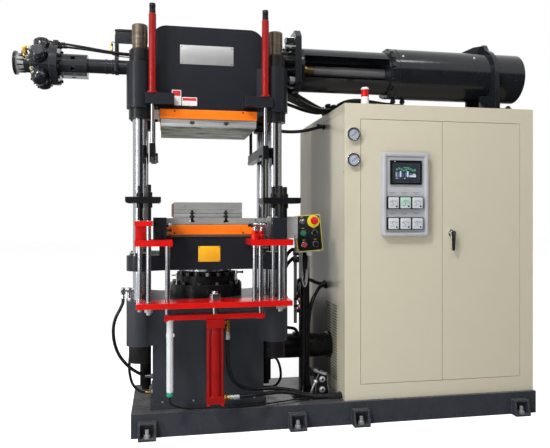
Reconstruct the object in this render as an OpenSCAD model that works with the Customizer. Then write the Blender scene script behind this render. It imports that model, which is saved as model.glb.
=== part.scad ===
// Vertical four-column moulding press for rubber parts, with a horizontal screw
// feeder on the left of its crown, an injection cylinder on the right, a front
// ejector, a control cabinet on the same base and a push-button station on a post.
// +X runs right along the base, +Y runs back, +Z runs up. The origin is on the floor
// under the centre of the platens. All sizes are millimetres.

/* [Base] */
// Left end of the base, from the press centre
base_left = 472; // [440:1:640]
// Right end of the base, from the press centre
base_right = 2214; // [2213:1:2400]
// Front edge of the base, from the press centre line
base_front = 325; // [320:1:345]
// Back edge of the base behind the press
base_back = 325; // [320:1:600]
// Height of the base frame
base_h = 148; // [120:1:180]
// Width of a levelling lug
lug_w = 106; // [80:1:130]
// Height of a levelling lug
lug_h = 103; // [80:1:110]
// Reach of a levelling lug at its foot
lug_reach = 62; // [50:1:90]

/* [Columns] */
// Spacing of the columns across the press
column_dx = 844; // [840:1:860]
// Spacing of the columns from front to back
column_dy = 480; // [476:1:500]
// Diameter of a column
column_d = 85; // [70:1:92]
// Outside diameter of the round column nuts
column_nut_d = 132; // [120:1:140]
// Diameter of the bronze caps on the column ends
cap_d = 96; // [94:1:104]
// Height of the bronze caps above the upper nuts
cap_h = 150; // [100:1:200]

/* [Press frame] */
// Width of the lower beam below its ears
lower_beam_w = 690; // [640:1:700]
// Depth of the lower beam below its ears
lower_beam_d = 510; // [480:1:520]
// Height of the lower beam over its foot plate
lower_beam_h = 630; // [600:1:660]
// Thickness of the foot plate
foot_plate_t = 42; // [30:1:60]
// Height of the ears that hold the columns in the lower beam
lower_ear_h = 272; // [220:1:300]
// Radius of the ears round the columns
ear_r = 80; // [72:1:83]
// Width of the crown between its ears
crown_w = 700; // [660:1:704]
// Depth of the crown
crown_d = 480; // [470:1:500]
// Height of the crown
crown_h = 523; // [480:1:560]
// Radius of the crown's upper corners
crown_corner_r = 90; // [40:1:120]
// Height of the ears of the crown
crown_ear_h = 279; // [240:1:300]

/* [Platens] */
// Gap between the lower and the upper heating plate with the press open
daylight = 563; // [540:1:640]
// Width of the heating plates
plate_w = 590; // [560:1:610]
// Depth of the heating plates
plate_d = 550; // [500:1:556]
// Thickness of one heating plate
plate_t = 35; // [30:1:48]
// Height of the orange heat covers
cover_h = 58; // [50:1:70]
// Thickness of the insulation sheets
insulation_t = 9; // [6:1:16]
// Neck width of the T-slots
slot_neck_w = 18; // [12:1:22]
// Head width of the T-slots
slot_head_w = 32; // [28:1:40]
// Spacing of the two T-slots
slot_pitch = 210; // [180:1:260]
// Height of the moving platen's box
bolster_h = 203; // [190:1:230]
// Height of the moving platen's ears
bolster_ear_h = 93; // [80:1:120]
// Width of the mould on the lower platen
mould_w = 430; // [380:1:460]
// Depth of the mould on the lower platen
mould_d = 400; // [350:1:430]
// Height of the mould on the lower platen
mould_h = 100; // [80:1:100]
// Diameter of the main ram
ram_d = 300; // [260:1:320]

/* [Ejector] */
// Diameter of the ejector's guide rods
ejector_rod_d = 28; // [22:1:32]
// Diameter of the rods that carry the ejector cylinder
carrier_rod_d = 30; // [24:1:34]
// Side of the ejector cylinder's square caps
ejector_cap_w = 105; // [96:1:120]
// Bore of the ejector cylinder
ejector_bore = 72; // [60:1:76]
// Diameter of the ejector's piston rod
ejector_piston_rod_d = 36; // [30:1:44]
// Thickness of the red ejector plate
ejector_plate_t = 32; // [25:1:40]

/* [Lifting arms] */
// Diameter of the red lift cylinders
lift_d = 45; // [42:1:46]
// Diameter of the lift cylinders' rods
lift_rod_d = 24; // [20:1:28]
// Length of the red lift cylinders
lift_len = 478; // [420:1:500]

/* [Injection unit] */
// Height of the injection axis above the crown's underside
injection_rise = 342; // [320:1:350]
// Outside diameter of the guide tube
guide_d = 292; // [260:1:310]
// Wall of the guide tube
guide_wall = 22; // [16:1:30]
// Outside diameter of the injection cylinder
injector_d = 347; // [330:1:360]
// Bore of the injection cylinder
injector_bore = 260; // [220:1:280]
// Diameter of the injection plunger
plunger_d = 70; // [60:1:84]
// Length of the guide tube
guide_len = 642; // [600:1:700]
// Length of the injection cylinder
injector_len = 985; // [960:1:1000]

/* [Screw feeder] */
// Height of the feeder axis above the crown's underside
feeder_rise = 308; // [296:1:320]
// Outside diameter of the feeder barrel
barrel_d = 90; // [80:1:110]
// Diameter of the feed screw
screw_d = 48; // [40:1:56]
// Length of the bearing housing
housing_len = 171; // [160:1:200]
// Pitch circle radius of the motor's five cylinders
motor_r = 128; // [118:1:140]

/* [Cabinet] */
// Left side of the cabinet, from the press centre
cabinet_x = 868; // [868:1:880]
// Width of the cabinet
cabinet_w = 1340; // [1320:1:1345]
// Front of the cabinet, from the press centre line
cabinet_front = 301; // [290:1:310]
// Depth of the cabinet
cabinet_d = 1267; // [1200:1:1300]
// Height of the cabinet
cabinet_h = 1918; // [1880:1:1960]
// Wall of the cabinet's folded shell
cabinet_wall = 20; // [16:1:26]
// Thickness of the doors
door_t = 20; // [16:1:24]
// Gap round each door
door_gap = 3; // [2:0.5:5]
// Width of the raised control panel
panel_w = 317; // [300:1:330]
// Height of the raised control panel
panel_h = 544; // [520:1:560]
// Depth of the raised control panel
panel_depth = 45; // [36:1:60]
// Side of a square panel meter
meter_w = 80; // [72:1:81]

/* [Button station] */
// Width of the button station
station_w = 170; // [160:1:190]
// Height of the button station
station_h = 236; // [228:1:250]
// Depth of the button station
station_d = 84; // [70:1:100]
// How far the station leans back, in degrees
station_tilt = 8; // [0:1:15]
// How far the station leans to the left, in degrees
station_lean = 3.5; // [0:0.5:6]

/* [Hidden] */

round_fn = 64; // sides of large round parts
small_fn = 32; // sides of rods, knobs and fittings
bolt_fn = 6; // bolt heads are hexagons
fit = 0.05; // radial running clearance between a rod and its hole
skin = 0.3; // free gap between bodies that slide past each other
cut = 1; // overrun of a cutting tool past the face that it opens

// heights of the press, from the floor up
base_top = base_h;
beam_top = base_top + foot_plate_t + lower_beam_h;
lower_ear_z = beam_top - lower_ear_h;
head_h = 80; // black cylinder head over the lower beam
gland_h = 80; // bolted gland ring over the head
ram_z = base_top + foot_plate_t + 130; // underside of the ram with the press open
ram_show = 23; // ram seen between the gland ring and the moving platen
bolster_z = beam_top + head_h + gland_h + ram_show;
bolster_top = bolster_z + bolster_h;
strip_h = 16; // grey packing plate over the moving platen
cover_z = bolster_top + strip_h;
lower_plate_z = cover_z + cover_h + insulation_t;
lower_plate_top = lower_plate_z + plate_t;
upper_plate_z = lower_plate_top + daylight;
backing_t = 14; // backing plate over the upper heating plate
upper_cover_z = upper_plate_z + plate_t + backing_t;
crown_z = upper_cover_z + cover_h;
crown_ear_top = crown_z + crown_ear_h;
cover_over = 5; // heat covers stand out past the plates on each side

// columns
column_r = column_d / 2;
column_xy = [for (sx = [-1, 1], sy = [-1, 1]) [sx * column_dx / 2, sy * column_dy / 2]];
nut_r = column_nut_d / 2;
lower_nut_h = 103;
upper_nut_h = 85;
nut_gap = 5; // free room round an upper nut
collar_h = 64; // black collar under the crown's ears
column_z = lower_ear_z - lower_nut_h - 6;
column_end = 110; // column stretch that the cap hides
cap_wall_top = 8;

// ears: where their flanks leave the front and the side of the beam that carries them
ear_front_run = 45;
ear_side_run = 130;
flank_in = 0.3; // the flanks run just inside the ear's round, so that they cross it cleanly

// the two boosters that lift the moving platen quickly
booster_x = 392;
booster_y = -60;
booster_r = 35;
booster_rod_r = 15;
booster_z = 250;
booster_shelf_t = 20;
booster_top = beam_top - booster_shelf_t;
booster_pad_w = 100;
booster_pad_x = booster_x + 50;

// lifting arms
lift_x = 345;
lift_y = -325;
lift_y_rear = column_dy / 2 + 60;
lift_bracket_z = crown_z + 19;
lift_bracket_h = 64;
lift_tube_z = lift_bracket_z + lift_bracket_h;
lift_head_h = 62; // black head on the tube
arm_z = 1706;
arm_h = 68;
arm_w = 36;
arm_front_over = 20; // arm past the rod's axis
arm_guide_d = 22;
fork_drop = 44; // fork under the front of the left arm

// ejector, carried by the moving platen
ejector_x = 20;
ejector_y = -455;
carrier_x = 276;
carrier_y = -440;
ejector_back = 365; // rear edge of everything that rides up past the crown
ejector_front = 540;
crossbar_z = 732;
crossbar_h = 28;
crossbar_w = 588;
crossbar_d = 100;
ejector_plate_z = 805;
ejector_plate_w = 906;
rod_xy = [for (s = [-1, 1]) each [[ejector_x + s * 436, -388], [ejector_x + s * 383, -510]]];
side_rod = [372, -450]; // thin rod beside the right guide rods
side_rod_d = 22;
stop_rod = [250, -510]; // short rod that ends in a bush on the right bracket
stop_rod_top = 1226;
bracket_z = 1163;
bracket_t = 35;
bracket_ends = [[-442, -229], [226, 478]]; // left and right bracket, across the press
bracket_front = 535;
bracket_top_z = 1279;
bracket_top_t = 29;
bracket_top_w = 100;
web_w = 73; // front plate between the left bracket's two levels
web_front = 434;
web_t = 12;
tongue_in = 229; // part of the bracket that reaches back to the moving platen
tongue_out = 300;
yoke_z = 1411;
yoke_t = 35;
yoke_ends = [[-493, -294], [294, 523]]; // left and right yoke, across the press
yoke_chamfer = 8;
rod_top = 1516;
collar_over = 14; // round clamping nuts on the rods, past their diameter
collar_t = 27;
ejector_cylinder_z = 238;
ejector_cap_low = 42;
ejector_cap_high = 50;
tie_bolt_d = 12;
rod_nut_h = 42;

// injection unit
injection_z = crown_z + injection_rise;
flange_x = 567;
flange_t = 41;
guide_x = flange_x + flange_t;
injector_x = guide_x + guide_len;
injector_end = injector_x + injector_len;
window_x0 = guide_x + 35;
window_x1 = injector_x - 8;
window_h = 146;
plunger_x = 150;
piston_t = 60;
injection_stroke = 450;

// screw feeder
feeder_z = crown_z + feeder_rise;
feeder_face = crown_w / 2;
feeder_flange_t = 20;
housing_x = -756; // joint between the barrel and the bearing housing
motor_flange_t = 52;
motor_x = housing_x - housing_len - motor_flange_t;
motor_len = 113;
motor_cap_len = 108;

// cabinet
cabinet_right = cabinet_x + cabinet_w;
cabinet_back = cabinet_d - cabinet_front;
cabinet_top = base_top + cabinet_h;
stile_w = 105; // front frame left and right of the doors
sill_h = 99; // front frame below and above the doors
door_x0 = cabinet_x + stile_w;
door_x1 = cabinet_right - stile_w + 7;
door_mid = (door_x0 + door_x1) / 2;
door_z0 = base_top + sill_h;
door_z1 = cabinet_top - sill_h;
panel_x = door_x0 + 136;
panel_z = 1206;
panel_rim = 12;
panel_recess = 10;
screen_w = 217;
screen_h = 157;
screen_z = 1541;
meter_x = panel_x + 28;
meter_pitch_x = 82;
meter_z = [1249, 1383];
handle_x = door_mid + 60;
handle_z = 1224;
louvre_n = 27;

// button station
station_x = 647;
station_y = -230; // centre of its face
station_z = 1227;
button_d = 30;
button_ring_d = 40;
button_ring_h = 8;
button_h = 12;
button_travel = 5;
col_left = -38; // button columns and rows, from the centre of the face
col_right = 37;
row_top = 75;
row_mid = 0;
row_low = -75;

function tangent_point(p, c, r, side) =
    let (v = p - c, a = atan2(v[1], v[0]), b = acos(r / norm(v)))
    c + r * [cos(a + side * b), sin(a + side * b)];

// a bar with square edges from one corner to the opposite one
module bar(low, high) {
    translate(low) cube(high - low);
}

module rod_x(d, x0, x1, fn = round_fn) {
    translate([x0, 0, 0]) rotate([0, 90, 0]) cylinder(h = x1 - x0, d = d, $fn = fn);
}

module rod_y(d, y0, y1, fn = small_fn) {
    translate([0, y1, 0]) rotate([90, 0, 0]) cylinder(h = y1 - y0, d = d, $fn = fn);
}

module rod_z(d, z0, z1, fn = round_fn) {
    translate([0, 0, z0]) cylinder(h = z1 - z0, d = d, $fn = fn);
}

// the same on a circle round the z axis
module ring_of(n, r, start = 0) {
    for (i = [0 : n - 1])
        rotate(start + i * 360 / n) translate([r, 0, 0]) children();
}

// plan of a beam: a box with an ear round each column, its flanks tangent to the ear
module eared_plan(w, d) {
    square([w, d], center = true);
    c = [column_dx, column_dy] / 2;
    p1 = [w / 2 - ear_front_run, d / 2];
    p2 = [w / 2, column_dy / 2 - ear_side_run];
    t1 = tangent_point(p1, c, ear_r - flank_in, -1);
    t2 = tangent_point(p2, c, ear_r - flank_in, 1);
    for (mx = [0, 1], my = [0, 1])
        mirror([mx, 0, 0]) mirror([0, my, 0]) {
            translate(c) circle(ear_r, $fn = round_fn);
            polygon([p1, t1, c, t2, p2, [p1[0], p2[1]]]);
        }
}

module column_bores(z0, z1, gap = fit) {
    for (p = column_xy) translate([p[0], p[1], z0]) cylinder(h = z1 - z0, r = column_r + gap, $fn = round_fn);
}

module hex_bolt(af, h) {
    cylinder(h = h, d = af / cos(30), $fn = bolt_fn);
}

// ---- base ----
module base_plan() {
    polygon([
        [-base_left, -base_front], [base_right, -base_front], [base_right, cabinet_back + 8],
        [cabinet_x - 10, cabinet_back + 8], [cabinet_x - 10, base_back], [-base_left, base_back],
    ]);
}

lug_t = 11; // plate of the lugs
lug_top_reach = 40;
lug_xs_front = [-base_left + 96, 546, 960, base_right - 131];
lug_xs_back = [-base_left + 96, 546];
lug_xs_cabinet = [cabinet_x + 92, base_right - 131];
jack_d = 24;
jack_reach = 34; // from the base's face to the levelling screw
jack_h = 62;
lug_root = 5; // lug plates run into the base

module lug() {
    translate([-lug_w / 2, -lug_reach, 0]) cube([lug_w, lug_reach + lug_root, lug_t + 3]);
    translate([-lug_w / 2, -lug_top_reach, lug_h - lug_t]) cube([lug_w, lug_top_reach + lug_root, lug_t]);
    for (x = [-lug_w / 2, lug_w / 2 - lug_t])
        translate([x + lug_t, 0, 0]) rotate([0, -90, 0])
            linear_extrude(lug_t) polygon([
                [0, lug_root], [0, -lug_reach], [lug_t + 3, -lug_reach],
                [lug_h, -lug_top_reach], [lug_h, lug_root],
            ]);
}

module at_lugs() {
    for (x = lug_xs_front) translate([x, -base_front, 0]) children();
    for (x = lug_xs_back) translate([x, base_back, 0]) rotate(180) children();
    for (x = lug_xs_cabinet) translate([x, cabinet_back + 8, 0]) rotate(180) children();
}

module base_frame() {
    color([0.22, 0.24, 0.27]) difference() {
        union() {
            linear_extrude(base_h) base_plan();
            at_lugs() lug();
        }
        at_lugs() translate([0, -jack_reach, -cut])
            cylinder(h = lug_t + 3 + 2 * cut, d = jack_d + 2 * fit, $fn = small_fn);
    }
}

module levelling_feet() {
    color("silver") at_lugs() translate([0, -jack_reach, 1]) {
        cylinder(h = jack_h, d = jack_d, $fn = small_fn);
        translate([0, 0, lug_t + 2]) hex_bolt(36, 19);
    }
}

// ---- press frame ----
foot_plate_over = 14; // foot plate past the beam at the front, the back and the sides
foot_bolt_n = 4;
foot_bolt_pitch = 190;
foot_plate_w = lower_beam_w + 2 * foot_plate_over;
foot_plate_d = lower_beam_d + 2 * foot_plate_over;

module lower_beam() {
    color([0.24, 0.26, 0.29]) difference() {
        union() {
            translate([0, 0, base_top]) linear_extrude(foot_plate_t)
                square([foot_plate_w, foot_plate_d], center = true);
            translate([0, 0, base_top]) linear_extrude(beam_top - base_top)
                square([lower_beam_w, lower_beam_d], center = true);
            translate([0, 0, lower_ear_z]) linear_extrude(lower_ear_h) eared_plan(lower_beam_w, lower_beam_d);
            for (s = [-1, 1])
                translate([s * (booster_x + 24) / 2, booster_y, booster_top + booster_shelf_t / 2])
                    cube([booster_x + 24, 2 * booster_r + 10, booster_shelf_t], center = true);
        }
        column_bores(lower_ear_z - cut, beam_top + cut);
        for (s = [-1, 1])
            translate([s * booster_x, booster_y, booster_top - cut])
                cylinder(h = booster_shelf_t + 2 * cut, r = booster_rod_r + 4, $fn = small_fn);
        // the main cylinder's bore, closed at the bottom
        rod_z(ram_d + 2 * fit, ram_z - 10, beam_top + cut);
    }
    color([0.5, 0.5, 0.5]) for (i = [0 : foot_bolt_n - 1], s = [-1, 1])
        translate([(i - (foot_bolt_n - 1) / 2) * foot_bolt_pitch,
            s * (lower_beam_d / 2 + foot_plate_over / 2), base_top + foot_plate_t])
            hex_bolt(foot_plate_over - 2, 8);
}

head_r = 236;
gland_r = 196;
gland_bolt_n = 16;
gland_bolt_r = 172;
booster_len = booster_top - booster_z;
booster_head_h = 34;

module press_cylinders() {
    color([0.08, 0.08, 0.09]) {
        difference() {
            union() {
                translate([0, 0, beam_top]) cylinder(h = head_h, r = head_r, $fn = round_fn);
                translate([0, 0, beam_top + head_h]) cylinder(h = gland_h - 26, r = gland_r, $fn = round_fn);
                translate([0, 0, beam_top + head_h + gland_h - 26])
                    cylinder(h = 26, r = gland_bolt_r - 18, $fn = round_fn);
                ring_of(gland_bolt_n, gland_bolt_r + 2)
                    translate([0, 0, beam_top + head_h + gland_h - 26]) hex_bolt(30, 20);
                ring_of(12, head_r - 22, 15) translate([0, 0, beam_top + head_h]) hex_bolt(24, 16);
            }
            translate([0, 0, beam_top - cut])
                cylinder(h = head_h + gland_h + 2 * cut, r = ram_d / 2 + fit, $fn = round_fn);
        }
        for (s = [-1, 1]) translate([s * booster_x, booster_y, booster_z]) difference() {
            union() {
                cylinder(h = booster_len, r = booster_r, $fn = small_fn);
                translate([0, 0, booster_len - booster_head_h])
                    cylinder(h = booster_head_h, r = booster_r + 6, $fn = small_fn);
                translate([0, 0, -26]) cylinder(h = 26, r = booster_r - 12, $fn = small_fn);
            }
            translate([0, 0, 20]) cylinder(h = booster_len, r = booster_rod_r + fit, $fn = small_fn);
        }
    }
}

prefill_z = 448;
prefill_y = 60;
prefill_d = 96;
prefill_flange_d = 150;

module prefill_pipe() {
    x0 = lower_beam_w / 2;
    color([0.07, 0.07, 0.08]) translate([0, prefill_y, prefill_z]) {
        rod_x(prefill_d, x0, cabinet_x, 48);
        rod_x(prefill_flange_d, x0, x0 + 26, 48);
        rod_x(prefill_flange_d, x0 + 26 + skin, x0 + 110, 48);
        rod_x(prefill_flange_d, cabinet_x - 24, cabinet_x, 48);
        rod_x(prefill_flange_d - 20, x0 + 110, x0 + 150, 48);
        rotate([90, 0, 90]) translate([0, 0, x0 + 110])
            ring_of(6, prefill_flange_d / 2 - 14) hex_bolt(16, 10);
    }
}

module tie_columns() {
    color([0.75, 0.76, 0.78]) for (p = column_xy)
        translate([p[0], p[1], column_z])
            cylinder(h = crown_ear_top + upper_nut_h + column_end - column_z, r = column_r, $fn = round_fn);
}

module column_nuts() {
    color([0.1, 0.1, 0.11]) difference() {
        for (p = column_xy) translate([p[0], p[1], 0]) {
            translate([0, 0, lower_ear_z - lower_nut_h]) cylinder(h = lower_nut_h, r = nut_r, $fn = round_fn);
            translate([0, 0, crown_z - collar_h]) cylinder(h = collar_h, r = nut_r, $fn = round_fn);
            translate([0, 0, crown_ear_top]) cylinder(h = upper_nut_h - 10, r = nut_r - 2, $fn = round_fn);
            translate([0, 0, crown_ear_top]) cylinder(h = upper_nut_h, r = nut_r - 12, $fn = round_fn);
            for (z = [lower_ear_z - lower_nut_h / 2, crown_ear_top + 40]) translate([0, 0, z])
                rotate(30) for (a = [0, 180]) rotate(a) translate([nut_r - 6, 0, 0]) rotate([0, 90, 0])
                    cylinder(h = 9, d = 14, $fn = 16);
        }
        column_bores(column_z, crown_ear_top + upper_nut_h + cut);
    }
}

module column_caps() {
    cap_z = crown_ear_top + upper_nut_h;
    color([0.55, 0.42, 0.28]) for (p = column_xy) translate([p[0], p[1], cap_z]) difference() {
        rotate_extrude($fn = round_fn) polygon([
            [0, 0], [cap_d / 2 - 3, 0], [cap_d / 2 - 3, 34], [cap_d / 2, 40],
            [cap_d / 2, cap_h - 6], [cap_d / 2 - 6, cap_h], [0, cap_h],
        ]);
        translate([0, 0, -cut]) cylinder(h = cap_h - cap_wall_top + cut, r = column_r + fit, $fn = round_fn);
    }
}

// ---- crown ----
module crown_face() {
    // front outline of the crown's box, as x and z
    r = crown_corner_r;
    square([crown_w, crown_h - r]);
    translate([r, 0]) square([crown_w - 2 * r, crown_h]);
    for (x = [r, crown_w - r]) translate([x, crown_h - r]) circle(r, $fn = round_fn);
}

module crown() {
    color([0.2, 0.21, 0.23]) difference() {
        union() {
            translate([-crown_w / 2, crown_d / 2, crown_z]) rotate([90, 0, 0])
                linear_extrude(crown_d) crown_face();
            translate([0, 0, crown_z]) linear_extrude(crown_ear_h) eared_plan(crown_w, crown_d);
            for (sx = [-1, 1], front = [0, 1]) mirror([sx > 0 ? 0 : 1, 0, 0]) lift_bracket(front);
        }
        column_bores(crown_z - cut, crown_ear_top + cut);
        // room beside the crown's box for the upper nuts and their spanner
        for (p = column_xy) translate([p[0], p[1], crown_ear_top])
            cylinder(h = crown_h, r = nut_r + nut_gap, $fn = round_fn);
        translate([0, 0, injection_z])
            rod_x(plunger_d + 2 * fit, plunger_x - 40, crown_w / 2 + cut, round_fn);
        translate([0, 0, feeder_z]) rod_x(30, -crown_w / 2 - cut, -crown_w / 2 + 60, small_fn);
        for (s = [-1, 1]) {
            translate([s * lift_x, lift_y, lift_bracket_z - cut])
                cylinder(h = lift_bracket_h + 2 * cut, d = lift_rod_d + 2 * fit, $fn = small_fn);
            translate([s * lift_x, lift_y_rear, lift_bracket_z - cut])
                cylinder(h = lift_bracket_h + 2 * cut, d = arm_guide_d + 2 * fit, $fn = small_fn);
        }
    }
    color([0.62, 0.62, 0.61]) bar([wire_block[0][0], wire_block[0][1], crown_z - wire_block_h],
        [wire_block[1][0], wire_block[1][1], crown_z]);
}

// block for the heater wires, under the crown beside the upper platen
wire_block = [[-341, -232], [-304, -160]];
wire_block_h = 58;

bracket_reach = 22; // lift bracket past the rod's axis
lift_bracket_w0 = 215; // its inner end, from the press centre
lift_bracket_w1 = 388; // its outer end

module lift_bracket(front) {
    // the rear one is shallower: it only guides a rod
    y0 = front == 1 ? lift_y - bracket_reach : crown_d / 2 - cut;
    y1 = front == 1 ? -crown_d / 2 + cut : lift_y_rear + bracket_reach;
    x0 = front == 1 ? lift_bracket_w0 : lift_x - 40;
    bar([x0, y0, lift_bracket_z], [lift_bracket_w1, y1, lift_bracket_z + lift_bracket_h]);
}

module upper_cover() {
    half_w = plate_w / 2 + cover_over;
    half_d = plate_d / 2 + cover_over;
    color([0.96, 0.5, 0.09])
        bar([-half_w, -half_d, upper_cover_z], [half_w, half_d, upper_cover_z + cover_h]);
}

module t_slot(z, up) {
    // open at both ends and at one face; up is 1 for a slot that opens upwards
    head_h = 13;
    neck_h = 14;
    mirror_z = up == 1 ? 0 : 1;
    translate([0, 0, z]) mirror([0, 0, mirror_z]) {
        translate([-slot_neck_w / 2, -plate_d / 2 - cut, -neck_h])
            cube([slot_neck_w, plate_d + 2 * cut, neck_h + cut]);
        translate([-slot_head_w / 2, -plate_d / 2 - cut, -neck_h - head_h])
            cube([slot_head_w, plate_d + 2 * cut, head_h]);
    }
}

heater_d = 15;
heater_depth = 40;
heater_pitch = 90;

module heating_plate(z0, face_z, up) {
    difference() {
        bar([-plate_w / 2, -plate_d / 2, z0], [plate_w / 2, plate_d / 2, z0 + plate_t]);
        for (s = [-1, 1]) translate([s * slot_pitch / 2, 0, 0]) t_slot(face_z, up);
        // heater holes in the right side
        for (i = [-2 : 2]) translate([0, i * heater_pitch, z0 + plate_t / 2])
            rod_x(heater_d, plate_w / 2 - heater_depth, plate_w / 2 + cut, 16);
    }
}

module upper_heating_plate() {
    color([0.62, 0.63, 0.62]) {
        heating_plate(upper_plate_z, upper_plate_z, 0);
        bar([-plate_w / 2, -plate_d / 2, upper_plate_z + plate_t],
            [plate_w / 2, plate_d / 2, upper_plate_z + plate_t + backing_t]);
    }
}

// ---- lifting arms ----
lift_wall = 5;
lift_flange_r = 32;
lift_flange_t = 12;

module lift_cylinders() {
    color([0.85, 0.1, 0.08]) for (s = [-1, 1]) translate([s * lift_x, lift_y, lift_tube_z]) difference() {
        union() {
            cylinder(h = lift_flange_t, r = lift_flange_r, $fn = small_fn);
            cylinder(h = lift_len, d = lift_d, $fn = small_fn);
            translate([0, 0, lift_len]) cylinder(h = lift_head_h, d = lift_d - 8, $fn = small_fn);
            translate([0, 0, lift_len + lift_head_h - 22]) rod_y(16, -lift_d / 2 - 4, 0, 16);
        }
        translate([0, 0, -cut]) cylinder(h = lift_flange_t + cut, d = lift_rod_d + 2 * fit, $fn = small_fn);
        translate([0, 0, lift_flange_t - cut])
            cylinder(h = lift_len - 2 * lift_flange_t + cut, d = lift_d - 2 * lift_wall, $fn = small_fn);
    }
}

lift_piston_t = 20;
lift_piston_rise = 130; // piston above the tube's foot with the arms down

module lift_rod(s) {
    color([0.78, 0.79, 0.8]) translate([s * lift_x, lift_y, 0]) {
        rod_z(lift_rod_d, arm_z + arm_h, lift_tube_z + lift_piston_rise, small_fn);
        rod_z(lift_d - 2 * lift_wall - 2 * fit, lift_tube_z + lift_piston_rise,
            lift_tube_z + lift_piston_rise + lift_piston_t, small_fn);
    }
}

module lift_arm(s) {
    x0 = lift_x - arm_w / 2;
    color([0.12, 0.12, 0.13]) mirror([s > 0 ? 0 : 1, 0, 0]) {
        bar([x0, lift_y - arm_front_over, arm_z], [x0 + arm_w, lift_y_rear + 16, arm_z + arm_h]);
        translate([lift_x, lift_y_rear, 0]) rod_z(arm_guide_d, arm_z + arm_h, crown_ear_top + 30, small_fn);
        // fork that takes a mould plate's pin
        difference() {
            bar([x0, lift_y - arm_front_over, arm_z - fork_drop], [x0 + arm_w, lift_y + 40, arm_z]);
            translate([lift_x, lift_y - arm_front_over - cut, arm_z - fork_drop - cut])
                translate([-9, 0, 0]) cube([18, 60 + 2 * cut, 30 + cut]);
        }
        bar([x0 - 14, lift_y + 60, arm_z], [x0, lift_y_rear - 60, arm_z + 16]);
    }
}

module lift_rod_left() lift_rod(-1);
module lift_rod_right() lift_rod(1);
module lift_arm_left() lift_arm(-1);
module lift_arm_right() lift_arm(1);

// ---- moving platen ----
bolster_w = 610;
bolster_d = 524;
wiper_h = 14;
strip_in = 10; // packing plate inside the edges round it

module moving_platen() {
    color([0.23, 0.24, 0.26]) difference() {
        union() {
            translate([0, 0, bolster_z]) linear_extrude(bolster_ear_h) eared_plan(bolster_w, bolster_d);
            translate([0, 0, bolster_z]) linear_extrude(bolster_h)
                square([bolster_w, bolster_d], center = true);
            for (p = column_xy) translate([p[0], p[1], bolster_z + bolster_ear_h])
                cylinder(h = wiper_h, r = nut_r - 4, $fn = round_fn);
            bar([-booster_pad_x, booster_y - booster_pad_w / 2, bolster_z],
                [booster_pad_x, booster_y + booster_pad_w / 2, bolster_z + 50]);
            translate([0, 0, bolster_top]) linear_extrude(strip_h)
                square([plate_w - 2 * strip_in, bolster_d - 2 * strip_in], center = true);
        }
        column_bores(bolster_z - cut, bolster_z + bolster_ear_h + wiper_h + cut);
    }
}

module press_rams() {
    color([0.78, 0.79, 0.8]) {
        rod_z(ram_d, ram_z, bolster_z);
        for (s = [-1, 1]) translate([s * booster_x, booster_y, 0])
            rod_z(2 * booster_rod_r, booster_z + 60, bolster_z, small_fn);
    }
}

module lower_cover() {
    half_w = plate_w / 2 + cover_over;
    half_d = plate_d / 2 + cover_over;
    color([0.96, 0.5, 0.09]) bar([-half_w, -half_d, cover_z], [half_w, half_d, cover_z + cover_h]);
    color([0.55, 0.4, 0.26]) bar([-half_w + 6, -half_d + 6, cover_z + cover_h],
        [half_w - 6, half_d - 6, cover_z + cover_h + insulation_t]);
}

module lower_heating_plate() {
    color([0.66, 0.67, 0.66]) heating_plate(lower_plate_z, lower_plate_top, 1);
}

mould_edge = 3;
mould_split_in = 8; // shield plate on the mould's left side, inside its edges
mould_shield_t = 10;

// one layer of the mould, drawn in by some margin all round
module mould_layer(z0, z1, margin = 0) {
    half_w = mould_w / 2 - margin;
    half_d = mould_d / 2 - margin;
    bar([-half_w, -half_d, lower_plate_top + z0], [half_w, half_d, lower_plate_top + z1]);
}

module mould_block() {
    split = mould_h / 2;
    color([0.62, 0.6, 0.55]) {
        mould_layer(0, split - mould_edge / 2);
        mould_layer(split - mould_edge / 2, split + mould_edge / 2, mould_edge);
        mould_layer(split + mould_edge / 2, mould_h);
    }
    color([0.45, 0.3, 0.2])
        bar([-mould_w / 2 - mould_shield_t, -mould_d / 2 + mould_shield_t, lower_plate_top + mould_split_in],
            [-mould_w / 2, mould_d / 2 - mould_shield_t, lower_plate_top + mould_h - mould_split_in]);
}

// ---- front ejector, hung on the moving platen ----
guide_block_front = 420;
guide_block_h = 130;
left_block = [-340, -262]; // block beside the left bracket's guide plates
port_block = [-331, -294]; // smaller block on its front
port_block_h = 64;
steel_block = [258, 348]; // bare steel block on the right bracket
rod_block = [351, 436]; // block that guides the right front rod
bracket_back = 352;

// running bores through a plate: for the guide rods, and for any one rod
module rod_bore(x, y, d, z0, z1) {
    translate([x, y, z0 - cut]) cylinder(h = z1 - z0 + 2 * cut, d = d + 2 * fit, $fn = small_fn);
}

module rod_bores(z0, z1) {
    for (p = rod_xy) rod_bore(p[0], p[1], ejector_rod_d, z0, z1);
}

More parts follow.
